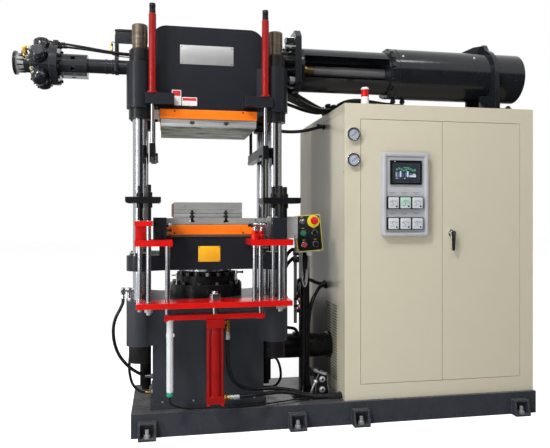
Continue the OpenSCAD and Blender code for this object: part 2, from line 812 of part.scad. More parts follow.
module ejector_brackets() {
    bracket_top = bracket_z + bracket_t;
    color([0.75, 0.08, 0.07]) difference() {
        union() {
            for (e = bracket_ends) bar([e[0], -bracket_front, bracket_z], [e[1], -bracket_back, bracket_top]);
            for (s = [-1, 1]) {
                tx = min(s * tongue_in, s * tongue_out);
                bar([tx, -bracket_back - cut, bracket_z],
                    [tx + tongue_out - tongue_in, -bolster_d / 2, bracket_top]);
            }
            // the left one carries a second guide plate on a web
            x0 = bracket_ends[0][0];
            bar([x0, -web_front, bracket_z], [x0 + web_w, -web_front + web_t, bracket_top_z + bracket_top_t]);
            bar([x0, -bracket_front, bracket_top_z],
                [x0 + bracket_top_w, -bracket_back, bracket_top_z + bracket_top_t]);
            // bush round the stop rod, and the nut of the right carrier rod
            translate([stop_rod[0], stop_rod[1], bracket_z]) cylinder(h = bracket_t + 36, d = 48, $fn = small_fn);
            translate([ejector_x + carrier_x, carrier_y, bracket_z])
                cylinder(h = bracket_t + 32, d = 38, $fn = small_fn);
        }
        rod_bores(bracket_z, bracket_top_z + bracket_top_t);
        rod_bore(side_rod[0], side_rod[1], side_rod_d, bracket_z, bracket_top);
        rod_bore(stop_rod[0], stop_rod[1], ejector_rod_d, bracket_z, bracket_top + 40);
    }
}

module ejector_guide_blocks() {
    z0 = bracket_z + bracket_t;
    z1 = z0 + guide_block_h;
    back = -bracket_back - 13;
    color([0.25, 0.26, 0.28]) {
        difference() {
            union() {
                bar([left_block[0], -guide_block_front, z0], [left_block[1], back, z1]);
                bar([port_block[0], -guide_block_front - 16, z0],
                    [port_block[1], -guide_block_front + cut, z0 + port_block_h]);
            }
            translate([(port_block[0] + port_block[1]) / 2, 0, z0 + port_block_h / 2])
                rod_y(24, -guide_block_front - 16 - cut, -guide_block_front + 30);
        }
        difference() {
            translate([0, -480, 0]) rotate([90, 0, 0]) linear_extrude(bracket_front - 480) polygon([
                [rod_block[0], z0], [rod_block[1] - 10, z0], [rod_block[1], z0 + 62],
                [rod_block[1], z1], [rod_block[0], z1],
            ]);
            rod_bores(z0, z1);
        }
    }
    color([0.62, 0.62, 0.61]) difference() {
        bar([steel_block[0], -guide_block_front, z0], [steel_block[1], back, z1 - 4]);
        bar([steel_block[1] - 22, -guide_block_front - cut, z0 + 30],
            [steel_block[1] - 14, -guide_block_front + 5, z1]);
    }
}

module ejector_crossbar() {
    color([0.8, 0.08, 0.07]) difference() {
        bar([ejector_x - crossbar_w / 2, ejector_y + 15 - crossbar_d / 2, crossbar_z],
            [ejector_x + crossbar_w / 2, ejector_y + 15 + crossbar_d / 2, crossbar_z + crossbar_h]);
        rod_bore(ejector_x, ejector_y, ejector_piston_rod_d, crossbar_z, crossbar_z + crossbar_h);
    }
    color([0.78, 0.79, 0.8]) for (s = [-1, 1])
        translate([ejector_x + s * carrier_x, carrier_y, 0])
            rod_z(carrier_rod_d, crossbar_z + crossbar_h, bracket_z, small_fn);
}

ejector_wall = 7;
ejector_port_x = 34.5; // brass port stub past the cap's side
port_d = 22;

module ejector_cylinder() {
    low_top = ejector_cylinder_z + ejector_cap_low;
    high_z = crossbar_z - ejector_cap_high;
    color([0.82, 0.08, 0.07]) translate([ejector_x, ejector_y, 0]) difference() {
        union() {
            translate([0, 0, ejector_cylinder_z]) linear_extrude(ejector_cap_low)
                square(ejector_cap_w, center = true);
            translate([0, 0, high_z]) linear_extrude(ejector_cap_high) square(ejector_cap_w, center = true);
            rod_z(ejector_bore + 2 * ejector_wall, low_top - cut, high_z + cut, 48);
            for (x = [-1, 1], y = [-1, 1])
                translate([x, y, 0] * (ejector_cap_w / 2 - 12)) {
                    rod_z(tie_bolt_d, low_top - cut, high_z + cut, 16);
                    translate([0, 0, ejector_cylinder_z - 12]) hex_bolt(18, 12);
                }
        }
        rod_z(ejector_bore, low_top, high_z, 48);
        rod_z(ejector_piston_rod_d + 2 * fit, high_z - cut, crossbar_z + cut, small_fn);
    }
    color([0.85, 0.68, 0.35])
        for (z = [ejector_cylinder_z + ejector_cap_low / 2, crossbar_z - ejector_cap_high / 2])
        translate([ejector_x, ejector_y, z]) {
            rod_x(port_d, ejector_cap_w / 2, ejector_cap_w / 2 + ejector_port_x, 16);
            translate([ejector_cap_w / 2 + 6, 0, 0]) rotate([0, 90, 0]) hex_bolt(port_d + 6, 12);
        }
}

sensor_x = -243;
sensor_d = 40;
sensor_z = 279;
sensor_end_h = 26;

module position_sensor() {
    color([0.82, 0.84, 0.84]) translate([sensor_x, carrier_y, 0]) {
        rod_z(sensor_d, sensor_z + sensor_end_h, crossbar_z, small_fn);
        rod_z(sensor_d + 4, crossbar_z - 16, crossbar_z, small_fn);
    }
    color([0.1, 0.55, 0.42]) translate([sensor_x, carrier_y, 0])
        rod_z(sensor_d - 2, sensor_z, sensor_z + sensor_end_h, small_fn);
}

module ejector_plate() {
    top = ejector_plate_z + ejector_plate_t;
    color([0.82, 0.08, 0.07]) difference() {
        bar([ejector_x - ejector_plate_w / 2, -ejector_front, ejector_plate_z],
            [ejector_x + ejector_plate_w / 2, -ejector_back, top]);
        rod_bores(ejector_plate_z, top);
        for (s = [-1, 1])
            rod_bore(ejector_x + s * carrier_x, carrier_y, carrier_rod_d, ejector_plate_z, top);
        rod_bore(ejector_x, ejector_y, ejector_piston_rod_d, ejector_plate_z, top);
    }
}

piston_rise = 40; // underside of the ejector's piston above the lower cap
ejector_piston_t = 36;

module clamp_nut(d, z) {
    translate([0, 0, z]) cylinder(h = collar_t, d = d + collar_over, $fn = small_fn);
}

module ejector_rods() {
    plate_top = ejector_plate_z + ejector_plate_t;
    color([0.78, 0.79, 0.8]) {
        for (p = rod_xy) translate([p[0], p[1], 0]) {
            rod_z(ejector_rod_d, ejector_plate_z - 34, rod_top, small_fn);
            translate([0, 0, ejector_plate_z - 20]) hex_bolt(ejector_rod_d + 14, 20);
            translate([0, 0, plate_top]) cylinder(h = 8, d = ejector_rod_d + 8, $fn = small_fn);
            for (z = [yoke_z - collar_t, yoke_z + yoke_t]) clamp_nut(ejector_rod_d, z);
        }
        translate([side_rod[0], side_rod[1], 0]) {
            rod_z(side_rod_d, plate_top, rod_top, small_fn);
            for (z = [yoke_z - collar_t, yoke_z + yoke_t]) clamp_nut(side_rod_d, z);
        }
        translate([stop_rod[0], stop_rod[1], 0]) {
            rod_z(ejector_rod_d, plate_top, stop_rod_top, small_fn);
            translate([0, 0, plate_top]) cylinder(h = 8, d = ejector_rod_d + 8, $fn = small_fn);
        }
        translate([ejector_x, ejector_y, 0]) {
            z0 = ejector_cylinder_z + ejector_cap_low + piston_rise;
            rod_z(ejector_piston_rod_d, z0, plate_top + rod_nut_h + 14, small_fn);
            rod_z(ejector_bore - 2 * fit, z0, z0 + ejector_piston_t, 48);
            translate([0, 0, plate_top]) hex_bolt(ejector_piston_rod_d + 24, rod_nut_h);
        }
    }
}

module ejector_yokes() {
    c = yoke_chamfer;
    color([0.08, 0.08, 0.09]) difference() {
        for (e = yoke_ends) translate([0, -ejector_back, 0]) rotate([90, 0, 0])
            linear_extrude(ejector_front - ejector_back) polygon([
                [e[0], yoke_z + c], [e[0] + c, yoke_z], [e[1] - c, yoke_z], [e[1], yoke_z + c],
                [e[1], yoke_z + yoke_t], [e[0], yoke_z + yoke_t],
            ]);
        rod_bores(yoke_z, yoke_z + yoke_t);
        rod_bore(side_rod[0], side_rod[1], side_rod_d, yoke_z, yoke_z + yoke_t);
    }
}

// ---- injection unit ----
flange_low = 173;
flange_high = 224;
flange_half = 200;
neck_d = 220;
flange_chamfer = 46;

module injection_flange() {
    color([0.17, 0.18, 0.2]) difference() {
        translate([0, 0, injection_z]) union() {
            rod_x(neck_d, crown_w / 2, flange_x);
            translate([flange_x, 0, 0]) rotate([90, 0, 90]) linear_extrude(flange_t) polygon([
                [-flange_half, -flange_low + flange_chamfer], [-flange_half + flange_chamfer, -flange_low],
                [flange_half - flange_chamfer, -flange_low], [flange_half, -flange_low + flange_chamfer],
                [flange_half, flange_high - flange_chamfer], [flange_half - flange_chamfer, flange_high],
                [-flange_half + flange_chamfer, flange_high], [-flange_half, flange_high - flange_chamfer],
            ]);
            for (y = [-1, 1]) bar([crown_w / 2, y * 70 - 9, -100], [flange_x, y * 70 + 9, 100]);
        }
        translate([0, 0, injection_z])
            rod_x(plunger_d + 2 * fit, crown_w / 2 - cut, guide_x + cut, round_fn);
    }
    color([0.75, 0.76, 0.78]) translate([flange_x, 0, injection_z]) rotate([0, -90, 0])
        for (y = [-1, 1], z = [-1, 1]) translate([z * 128 + 24, y * 150, 0]) hex_bolt(46, 34);
}

module guide_tube() {
    color([0.19, 0.2, 0.22]) translate([0, 0, injection_z]) difference() {
        union() {
            rod_x(guide_d, guide_x, injector_x);
            rod_x(guide_d + 14, guide_x, guide_x + 26);
        }
        rod_x(guide_d - 2 * guide_wall, guide_x - cut, injector_x + cut);
        bar([window_x0, -guide_d, -window_h / 2], [window_x1, 0, window_h / 2]);
    }
}

bush_d = 112;
bush_len = 72;

module guide_bush() {
    color([0.8, 0.62, 0.25]) translate([0, 0, injection_z]) difference() {
        rod_x(bush_d, guide_x, guide_x + bush_len, 48);
        rod_x(plunger_d + 2 * fit, guide_x - cut, guide_x + bush_len + cut, round_fn);
    }
}

injector_flange_t = 42;
injector_notch_n = 16;
notch_r = 17;
groove_w = 10;
injector_head_t = 60;
spigot = 8; // centres the cylinder in the guide tube
saddle_x = 1985;
saddle_t = 32;
saddle_foot_x0 = 1880;
saddle_foot_x1 = 2112;
saddle_foot_t = 22;
saddle_half_w = 205;
saddle_ring = 26;

module saddle_plate() {
    // transverse plate that carries the injection cylinder, as y and z from its axis
    r = injector_d / 2 + saddle_ring;
    drop = cabinet_top - injection_z;
    foot = [saddle_half_w, drop];
    t = tangent_point(foot, [0, 0], r, 1);
    circle(r, $fn = round_fn);
    rise = drop + 40;
    polygon([[-foot[0], drop], [foot[0], drop], [foot[0], rise], t, [-t[0], t[1]], [-foot[0], rise]]);
    polygon([[-88, r - 40], [88, r - 40], [36, r + 34], [-36, r + 34]]);
}

module injection_cylinder() {
    piston_room = injection_stroke + piston_t + 40;
    color([0.17, 0.18, 0.2]) difference() {
        union() {
            translate([0, 0, injection_z]) {
                rod_x(injector_d, injector_x, injector_end, 96);
                rod_x(guide_d - 2 * guide_wall - 1, injector_x - spigot, injector_x);
            }
            translate([saddle_x, 0, injection_z]) rotate([90, 0, 90]) linear_extrude(saddle_t) saddle_plate();
            bar([saddle_foot_x0, -saddle_half_w, cabinet_top],
                [saddle_foot_x1, saddle_half_w, cabinet_top + saddle_foot_t]);
            // rib along the top of the cylinder up to the plate's ear
            translate([0, 12, injection_z]) rotate([90, 0, 0]) linear_extrude(24) polygon([
                [saddle_x - 190, injector_d / 2 - 12], [saddle_x, injector_d / 2 - 12],
                [saddle_x, injector_d / 2 + saddle_ring + 34],
                [saddle_x - 60, injector_d / 2 + saddle_ring + 22],
            ]);
            for (x = [saddle_x + saddle_t, saddle_x - 60], y = [-110, 90])
                bar([x, y, cabinet_top], [x + 60, y + 20, cabinet_top + 120]);
            for (x = [80, 150]) translate([injector_x + x, 40, 0])
                rod_z(30, injection_z - injector_d / 2 - 4.5, injection_z - injector_bore / 2 - 12, small_fn);
        }
        translate([0, 0, injection_z]) {
            rod_x(plunger_d + 2 * fit, injector_x - spigot - cut, injector_x + injector_head_t + cut);
            rod_x(injector_bore, injector_x + injector_head_t, injector_x + injector_head_t + piston_room);
            // castellated rim round the head's bolts
            rotate([0, 90, 0]) ring_of(injector_notch_n, injector_d / 2)
                translate([0, 0, injector_x - cut])
                    cylinder(h = injector_flange_t / 2 + cut, r = notch_r, $fn = 24);
            rotate([0, 90, 0]) difference() {
                translate([0, 0, injector_x + injector_flange_t])
                    cylinder(h = groove_w, d = injector_d + 10, $fn = 96);
                translate([0, 0, injector_x + injector_flange_t - cut])
                    cylinder(h = groove_w + 2 * cut, d = injector_d - 8, $fn = 96);
            }
        }
    }
}

module injection_plunger() {
    piston_x = injector_x + injector_head_t + 20;
    color([0.78, 0.79, 0.8]) translate([0, 0, injection_z]) {
        rod_x(plunger_d, plunger_x, piston_x);
        rod_x(injector_bore - 2 * fit, piston_x, piston_x + piston_t);
    }
}

// ---- screw feeder ----
barrel_ring_x = -575; // clamp ring with the hose carrier
carrier_h = 168;

module feed_barrel() {
    color([0.15, 0.16, 0.18]) translate([0, 0, feeder_z]) difference() {
        union() {
            rod_x(barrel_d, housing_x, -feeder_face);
            rod_x(barrel_d + 60, -feeder_face - feeder_flange_t, -feeder_face);
            rod_x(barrel_d + 12, barrel_ring_x - 12, barrel_ring_x + 12);
            for (x = [housing_x + 110, housing_x + 150]) rod_x(barrel_d + 5, x, x + 12);
            // strip and sheet bracket that carry the hoses and the sensor lead
            bar([barrel_ring_x - 3, -13, barrel_d / 2], [barrel_ring_x + 3, 13, barrel_d / 2 + carrier_h]);
            bar([barrel_ring_x - 13, -14, barrel_d / 2 + carrier_h - 62],
                [barrel_ring_x + 112, -9, barrel_d / 2 + carrier_h]);
            bar([barrel_ring_x - 13, -14, barrel_d / 2 + carrier_h - 5],
                [barrel_ring_x + 112, 40, barrel_d / 2 + carrier_h]);
        }
        rod_x(screw_d + 2 * fit, housing_x - cut, -feeder_face + cut, 48);
    }
}

housing_d = 138;
housing_window = 26;

module bearing_housing() {
    x0 = housing_x - housing_len;
    color([0.16, 0.17, 0.19]) translate([0, 0, feeder_z]) difference() {
        union() {
            rod_x(housing_d, x0, housing_x);
            bar([x0 + 10, -46, -housing_d / 2 - 8], [housing_x, 46, -housing_d / 2 + 14]);
        }
        rod_x(screw_d + 2 * fit, x0 - cut, housing_x + cut, 48);
        rod_x(housing_d - 28, x0 + 30, housing_x - 26);
        for (a = [0 : 60 : 300]) rotate([a, 0, 0]) translate([x0 + housing_len / 2, 0, housing_d / 2])
            cube([housing_window, housing_window, housing_d], center = true);
    }
}

lobe_n = 5;
lobe_d = 96;
motor_case_r = 104;
motor_bolt_r = 116;

module screw_motor() {
    x0 = motor_x - motor_len;
    color([0.1, 0.11, 0.12]) translate([0, 0, feeder_z]) difference() {
        union() {
            rod_x(262, motor_x, motor_x + motor_flange_t);
            bar([motor_x + 4, -66, 96], [motor_x + motor_flange_t, 42, 146]);
            rod_x(2 * motor_case_r, x0, motor_x);
            // five radial cylinders with bolted caps
            for (i = [0 : lobe_n - 1])
                rotate([i * 360 / lobe_n, 0, 0]) translate([x0 + motor_len / 2, 0, 0]) {
                cylinder(h = motor_r + 18, d = lobe_d, $fn = small_fn);
                translate([0, 0, motor_r + 18]) cylinder(h = 16, d = lobe_d - 14, $fn = small_fn);
                for (a = [45 : 90 : 315]) rotate(a)
                    translate([lobe_d / 2 - 16, 0, motor_r + 34]) hex_bolt(13, 8);
            }
            rod_x(132, x0 - motor_cap_len + 22, x0);
            rod_x(147, x0 - motor_cap_len, x0 - motor_cap_len + 22);
            rotate([0, 90, 0]) ring_of(10, motor_bolt_r) translate([0, 0, motor_x - 18])
                cylinder(h = 30, d = 16, $fn = 16);
        }
        rod_x(screw_d + 2 * fit, motor_x - 40, motor_x + motor_flange_t + cut, 48);
    }
}

flight_pitch = 46;
screw_core_d = 30;

module feed_screw() {
    x0 = housing_x - housing_len - 40;
    x1 = -feeder_face - 6;
    flight_len = x1 - housing_x - 20;
    color([0.75, 0.76, 0.78]) translate([0, 0, feeder_z]) {
        rod_x(screw_core_d, x0, x1, 48);
        rod_x(screw_d, x0, housing_x + 12, 48);
        rod_x(70, housing_x - 120, housing_x - 60, 48);
        translate([housing_x + 16, 0, 0]) rotate([0, 90, 0])
            linear_extrude(flight_len, twist = -360 * flight_len / flight_pitch, slices = 96, convexity = 6)
                translate([0, -3]) square([screw_d / 2 - 0.3, 6]);
    }
}

// ---- cabinet ----
pivot_in = 2.3 * door_gap; // door pivots inside the leaf's corner, so that it clears the frame
pivot_r = 4;
pivot_len = 10;
louvre_pitch = 19;
louvre_h = 7;
louvre_z = base_top + 84;
louvre_ys = [[-124, -16], [15, 151]];
gland_y0 = 170;
gland_y1 = 290;
handle_shaft_r = 8;

module pivots(x, gap) {
    for (z = [door_z0 + door_gap - pivot_len, door_z1 - door_gap])
        translate([x, -cabinet_front + pivot_in, z - gap])
            cylinder(h = pivot_len + 2 * gap, r = pivot_r + gap, $fn = 24);
}

module cabinet_shell() {
    color([0.79, 0.76, 0.66]) difference() {
        union() {
            bar([cabinet_x, -cabinet_front, base_top], [cabinet_right, cabinet_back, cabinet_top]);
            // black rubber gland block where the hoses go in through the roof
            bar([cabinet_x + 10, gland_y0, cabinet_top], [cabinet_x + 90, gland_y1, cabinet_top + 16]);
        }
        bar([cabinet_x + cabinet_wall, -cabinet_front + cabinet_wall, base_top + cabinet_wall],
            [cabinet_right - cabinet_wall, cabinet_back - cabinet_wall, cabinet_top - cabinet_wall]);
        bar([door_x0, -cabinet_front - cut, door_z0],
            [door_x1, -cabinet_front + cabinet_wall + cut, door_z1]);
        for (x = [door_x0 + door_gap + pivot_in, door_x1 - door_gap - pivot_in]) pivots(x, fit);
        for (i = [0 : louvre_n - 1], y = louvre_ys)
            translate([0, y[1], louvre_z + i * louvre_pitch]) rotate([90, 0, 0])
                linear_extrude(y[1] - y[0]) polygon([
                    [cabinet_x - cut, -cut], [cabinet_x - cut, louvre_h - cut],
                    [cabinet_x + cabinet_wall + cut, louvre_h + 9], [cabinet_x + cabinet_wall + cut, 9],
                ]);
    }
}

module door(x0, x1, pivot_x) {
    difference() {
        union() {
            bar([x0, -cabinet_front, door_z0 + door_gap], [x1, -cabinet_front + door_t, door_z1 - door_gap]);
            pivots(pivot_x, 0);
        }
        children();
    }
}

module door_left() {
    color([0.79, 0.76, 0.66])
        door(door_x0 + door_gap, door_mid - door_gap / 2, door_x0 + door_gap + pivot_in);
}

module door_right() {
    color([0.79, 0.76, 0.66])
        door(door_mid + door_gap / 2, door_x1 - door_gap, door_x1 - door_gap - pivot_in)
            translate([handle_x, -cabinet_front, handle_z])
                rod_y(2 * (handle_shaft_r + fit), -cut, door_t + cut, small_fn);
}

handle_rise = 30; // lever in front of the door
lever_len = 119;

module door_handle() {
    color([0.78, 0.79, 0.8]) translate([handle_x, -cabinet_front, handle_z]) {
        rod_y(44, -14, -skin, small_fn);
        rod_y(26, -handle_rise - 10, -14, small_fn);
        rod_y(2 * handle_shaft_r, -skin - cut, door_t + 12, small_fn);
        difference() {
            union() {
                rod_y(34, -handle_rise - 12, -handle_rise + 2, small_fn);
                translate([0, -handle_rise + 2, 0]) rotate([90, 0, 0]) linear_extrude(14)
                    polygon([[-15, 0], [15, 0], [11, -lever_len + 14], [-11, -lever_len + 14]]);
                translate([0, 0, -lever_len + 14]) rod_y(22, -handle_rise - 12, -handle_rise + 2, small_fn);
            }
            rod_y(14, -handle_rise - 13, -handle_rise - 8, small_fn);
        }
        // cam behind the door
        bar([-12, door_t + 2, -12], [46, door_t + 8, 12]);
    }
}

module control_panel() {
    y0 = -cabinet_front - panel_depth;
    color([0.68, 0.69, 0.7]) difference() {
        bar([panel_x, y0, panel_z], [panel_x + panel_w, -cabinet_front, panel_z + panel_h]);
        bar([panel_x + panel_rim, y0 - cut, panel_z + panel_rim],
            [panel_x + panel_w - panel_rim, y0 + panel_recess, panel_z + panel_h - panel_rim]);
    }
}

screen_rim = 14;
screen_t = 12;

module panel_screen() {
    x0 = panel_x + (panel_w - screen_w) / 2;
    y1 = -cabinet_front - panel_depth + panel_recess;
    color([0.08, 0.08, 0.09]) difference() {
        bar([x0, y1 - screen_t, screen_z], [x0 + screen_w, y1, screen_z + screen_h]);
        bar([x0 + screen_rim, y1 - screen_t - cut, screen_z + screen_rim],
            [x0 + screen_w - screen_rim, y1 - screen_t + 3, screen_z + screen_h - screen_rim]);
    }
}

meter_t = 22;
meter_rim = 5;
meter_foot = 24; // black foot of a meter, under its face

module panel_meters() {
    y1 = -cabinet_front - panel_depth + panel_recess;
    color([0.1, 0.1, 0.1]) for (i = [0 : 2], z = meter_z) translate([meter_x + i * meter_pitch_x, 0, z])
        difference() {
            bar([0, y1 - meter_t, 0], [meter_w, y1, meter_w]);
            bar([meter_rim, y1 - meter_t - cut, meter_foot],
                [meter_w - meter_rim, y1 - meter_t + 4, meter_w - meter_rim]);
            translate([meter_w / 2, 0, meter_foot / 2]) rod_y(9, y1 - meter_t - cut, y1 - meter_t + 2, 16);
        }
}

gauge_d = 87;
gauge_t = 28;
gauge_zs = [1699, 1863];
gauge_x = 920;

module pressure_gauges() {
    color([0.78, 0.79, 0.8]) for (z = gauge_zs) translate([gauge_x, -cabinet_front, z]) {
        difference() {
            union() {
                rod_y(gauge_d, -gauge_t, -gauge_t + 12, round_fn);
                rod_y(gauge_d - 8, -gauge_t + 12, 0, round_fn);
            }
            rod_y(gauge_d - 14, -gauge_t - cut, -gauge_t + 6, round_fn);
        }
        rod_y(9, -gauge_t + 2, -gauge_t + 6.5, 16);
    }
}

beacon_x = 1021;
beacon_y = -250;
beacon_d = 52;

module beacon() {
    translate([beacon_x, beacon_y, cabinet_top]) {
        color([0.8, 0.8, 0.78]) {
            cylinder(h = 6, d = beacon_d + 12, $fn = small_fn);
            cylinder(h = 52, d = beacon_d, $fn = small_fn);
        }
        color([0.85, 0.1, 0.1]) translate([0, 0, 52]) cylinder(h = 48, d = beacon_d - 2, $fn = small_fn);
        color([0.9, 0.9, 0.9]) translate([0, 0, 100]) rotate_extrude($fn = small_fn)
            polygon([[0, 0], [beacon_d / 2, 0], [beacon_d / 2, 9], [beacon_d / 2 - 5, 15], [0, 17]]);
    }
}

// ---- what the cabinet holds ----
floor_z = base_top + cabinet_wall;
tank_w = 660;
tank_d = 880;
tank_x0 = cabinet_x + 92;
tank_x1 = tank_x0 + tank_w;
tank_y0 = -cabinet_front + 181;
tank_y1 = tank_y0 + tank_d;
tank_h = 400;
tank_lid_t = 12;
tank_over = 16;
motor_d = 250;
motor_body_len = 330;
motor_y = tank_y0 + 370;
motor_in = 260; // motor's left end, from the tank's left side
motor_rise = 170; // motor's axis above the tank's lid
motor_foot_h = 70;

module oil_tank() {
    color([0.3, 0.42, 0.5]) {
        difference() {
            bar([tank_x0, tank_y0, floor_z], [tank_x1, tank_y1, floor_z + tank_h]);
            // level glass recess on the front
            bar([tank_x1 - 90, tank_y0 - cut, floor_z + 0.3 * tank_h],
                [tank_x1 - 60, tank_y0 + 6, floor_z + 0.8 * tank_h]);
        }
        bar([tank_x0 - tank_over, tank_y0 - tank_over, floor_z + tank_h],
            [tank_x1 + tank_over, tank_y1 + tank_over, floor_z + tank_h + tank_lid_t]);
        translate([tank_x1 - 90, tank_y0 + 90, floor_z + tank_h + tank_lid_t]) {
            cylinder(h = 40, d = 64, $fn = small_fn);
            translate([0, 0, 40]) cylinder(h = 26, d = 84, $fn = small_fn);
        }
        // valve block
        translate([tank_x0 + 60, tank_y1 - 260, floor_z + tank_h + tank_lid_t]) {
            cube([130, 190, 150]);
            for (y = [20, 80, 140]) translate([20, y, 150]) cube([90, 34, 60]);
        }
    }
}

module pump_motor() {
    z0 = floor_z + tank_h + tank_lid_t;
    axis_z = z0 + motor_rise;
    x0 = tank_x0 + motor_in;
    color([0.2, 0.35, 0.55]) translate([0, motor_y, 0]) {
        translate([0, 0, axis_z]) {
            rod_x(motor_d - 30, x0, x0 + motor_body_len);
            for (i = [0 : 29]) rotate([i * 12, 0, 0])
                bar([x0 + 14, -2.5, motor_d / 2 - 18], [x0 + motor_body_len - 14, 2.5, motor_d / 2]);
            rod_x(motor_d + 2, x0 + motor_body_len, x0 + motor_body_len + 70);
            rod_x(motor_d, x0 - 16, x0);
            rod_x(150, x0 - 90, x0 - 16);
            rod_x(110, x0 - 200, x0 - 90);
            bar([x0 + 90, -62, motor_d / 2 - 14], [x0 + 230, 62, motor_d / 2 + 56]);
        }
        for (x = [x0 + 30, x0 + 230], y = [-1, 1])
            bar([x, y * 95 - 35, z0], [x + 60, y * 95 + 35, z0 + motor_foot_h]);
    }
}

switch_plate_w = 590; // mounting plate of the switchgear
switch_plate_h = 1000;
plate_x1 = cabinet_right - 58;
plate_x0 = plate_x1 - switch_plate_w;
plate_z1 = cabinet_top - 126;
plate_z0 = plate_z1 - switch_plate_h;
plate_off = 30; // from the back wall to the plate's face
rail_pitch = 240;
rail_n = 4;
rail_first = 140; // lowest rail above the plate's lower edge
device_pitch = 56;
device_h = 84;
duct_d = 60;
duct_h = 40;

module switch_plate() {
    y1 = cabinet_back - cabinet_wall;
    y0 = y1 - plate_off;
    color([0.85, 0.6, 0.2]) {
        bar([plate_x0, y0, plate_z0], [plate_x1, y0 + 3, plate_z1]);
        for (x = [plate_x0 + 20, plate_x1 - 44], z = [plate_z0 + 20, plate_z1 - 44])
            bar([x, y0 + 3, z], [x + 24, y1, z + 24]);
    }
    for (i = [0 : rail_n - 1]) {
        z = plate_z0 + rail_first + i * rail_pitch;
        color([0.75, 0.76, 0.78]) bar([plate_x0 + 30, y0 - 8, z - 17], [plate_x1 - 30, y0, z + 17]);
        // devices: fewer and wider on the upper rails
        w = device_pitch - 11 + 2 * i;
        color([0.85, 0.85, 0.85]) for (j = [0 : 8 - i]) {
            x = plate_x0 + 40 + j * device_pitch;
            bar([x, y0 - 88 - 6 * i, z - device_h / 2], [x + w, y0 - 8, z + device_h / 2]);
        }
        if (i < rail_n - 1) color([0.6, 0.6, 0.62])
            bar([plate_x0 + 20, y0 - duct_d, z + 100], [plate_x1 - 20, y0, z + 100 + duct_h]);
    }
}

// ---- button station ----
post_w = 60;
post_y = -98;
post_foot = 170;
post_foot_t = 12;
station_block = 24; // depth of the button holes

module at_station() {
    translate([station_x, station_y, station_z]) rotate([0, -station_lean, 0]) rotate([-station_tilt, 0, 0])
        children();
}

module station_post() {
    color([0.08, 0.08, 0.09]) {
        bar([station_x - post_w / 2, post_y - post_w / 2, base_top + post_foot_t],
            [station_x + post_w / 2, post_y + post_w / 2, station_z + 70]);
        bar([station_x - post_foot / 2, post_y - post_foot / 2, base_top],
            [station_x + post_foot / 2, post_y + post_foot / 2, base_top + post_foot_t]);
        for (x = [-1, 1], y = [-1, 1])
            translate([station_x + x * 62, post_y + y * 62, base_top + post_foot_t]) hex_bolt(18, 10);
        at_station() bar([-45, station_d, -80], [45, station_d + 34, 40]);
    }
}

button_spots = [
    [col_left, row_mid], [col_right, row_mid], [col_left, row_low], [col_right, row_low], [col_left, row_top],
];

module station_box() {
    color([0.75, 0.76, 0.75]) at_station() difference() {
        union() {
            bar([-station_w / 2, 0, -station_h / 2], [station_w / 2, station_d, station_h / 2]);
            for (p = button_spots) translate([p[0], 0, p[1]])
                rod_y(button_ring_d, -button_ring_h, cut, small_fn);
            translate([col_right, 0, row_top]) rod_y(82, -4, cut, 48);
            translate([0, station_d / 2, -station_h / 2 - 24]) cylinder(h = 24, d = 34, $fn = small_fn);
        }
        for (p = button_spots) translate([p[0], 0, p[1]])
            rod_y(button_d + 2 * fit, -button_ring_h - cut, station_block, small_fn);
        translate([col_right, 0, row_top]) rod_y(22 + 2 * fit, -5, station_block, small_fn);
    }
}

module push_button(x, z) {
    at_station() translate([x, 0, z]) {
        rod_y(button_d, -button_h, station_block - button_travel - 3, small_fn);
        rod_y(button_d - 8, -button_h - 2, -button_h, small_fn);
    }
}

module selector_knob() {
    color([0.9, 0.9, 0.9]) at_station() translate([col_left, 0, row_top]) {
        rod_y(button_d, -button_h, station_block - 4, small_fn);
        bar([-5, -button_h - 14, -button_d / 2 + 1], [5, -button_h, button_d / 2 - 1]);
    }
}

module emergency_button() {
    color([0.85, 0.1, 0.12]) at_station() translate([col_right, 0, row_top]) rotate([90, 0, 0])
        rotate_extrude($fn = 48) polygon([
            [0, -station_block + 8], [11, -station_block + 8], [11, 18], [19, 22], [25, 28], [25, 36],
            [21, 41], [10, 43], [0, 43],
        ]);
}

module start_button() color([0.1, 0.65, 0.4]) push_button(col_left, row_mid);
module stop_button() color([0.85, 0.15, 0.15]) push_button(col_left, row_low);
module jog_up_button() color([0.1, 0.1, 0.12]) push_button(col_right, row_mid);
module jog_down_button() color([0.1, 0.1, 0.12]) push_button(col_right, row_low);

// ---- hoses ----
hose_sides = 8;

// rings of a tube that follows a list of points
function unit(v) = v / norm(v);
function along(pts, i) = unit(
    (i == len(pts) - 1 ? pts[i] : pts[i + 1]) - (i == 0 ? pts[i] : pts[i - 1]));
function side_of(t) = unit(cross(t, abs(t[2]) > 0.9 ? [1, 0, 0] : [0, 0, 1]));
function carried(pts, i) = i == 0 ? side_of(along(pts, 0)) :
    let (t = along(pts, i), u = carried(pts, i - 1)) unit(u - t * (u * t));

module tube(pts, d) {
    n = len(pts);
    rings = [for (i = [0 : n - 1]) let (t = along(pts, i), u = carried(pts, i), w = cross(t, u))
        for (k = [0 : hose_sides - 1]) let (a = k * 360 / hose_sides)
            pts[i] + d / 2 * (cos(a) * u + sin(a) * w)];
    polyhedron(
        points = rings,
        faces = concat(
            [[for (k = [0 : hose_sides - 1]) k]],
            [for (i = [0 : n - 2], k = [0 : hose_sides - 1]) let (j = (k + 1) % hose_sides)
                [i * hose_sides + k, (i + 1) * hose_sides + k, (i + 1) * hose_sides + j, i * hose_sides + j]],
            [[for (k = [hose_sides - 1 : -1 : 0]) (n - 1) * hose_sides + k]]
        ),
        convexity = 8
    );
}

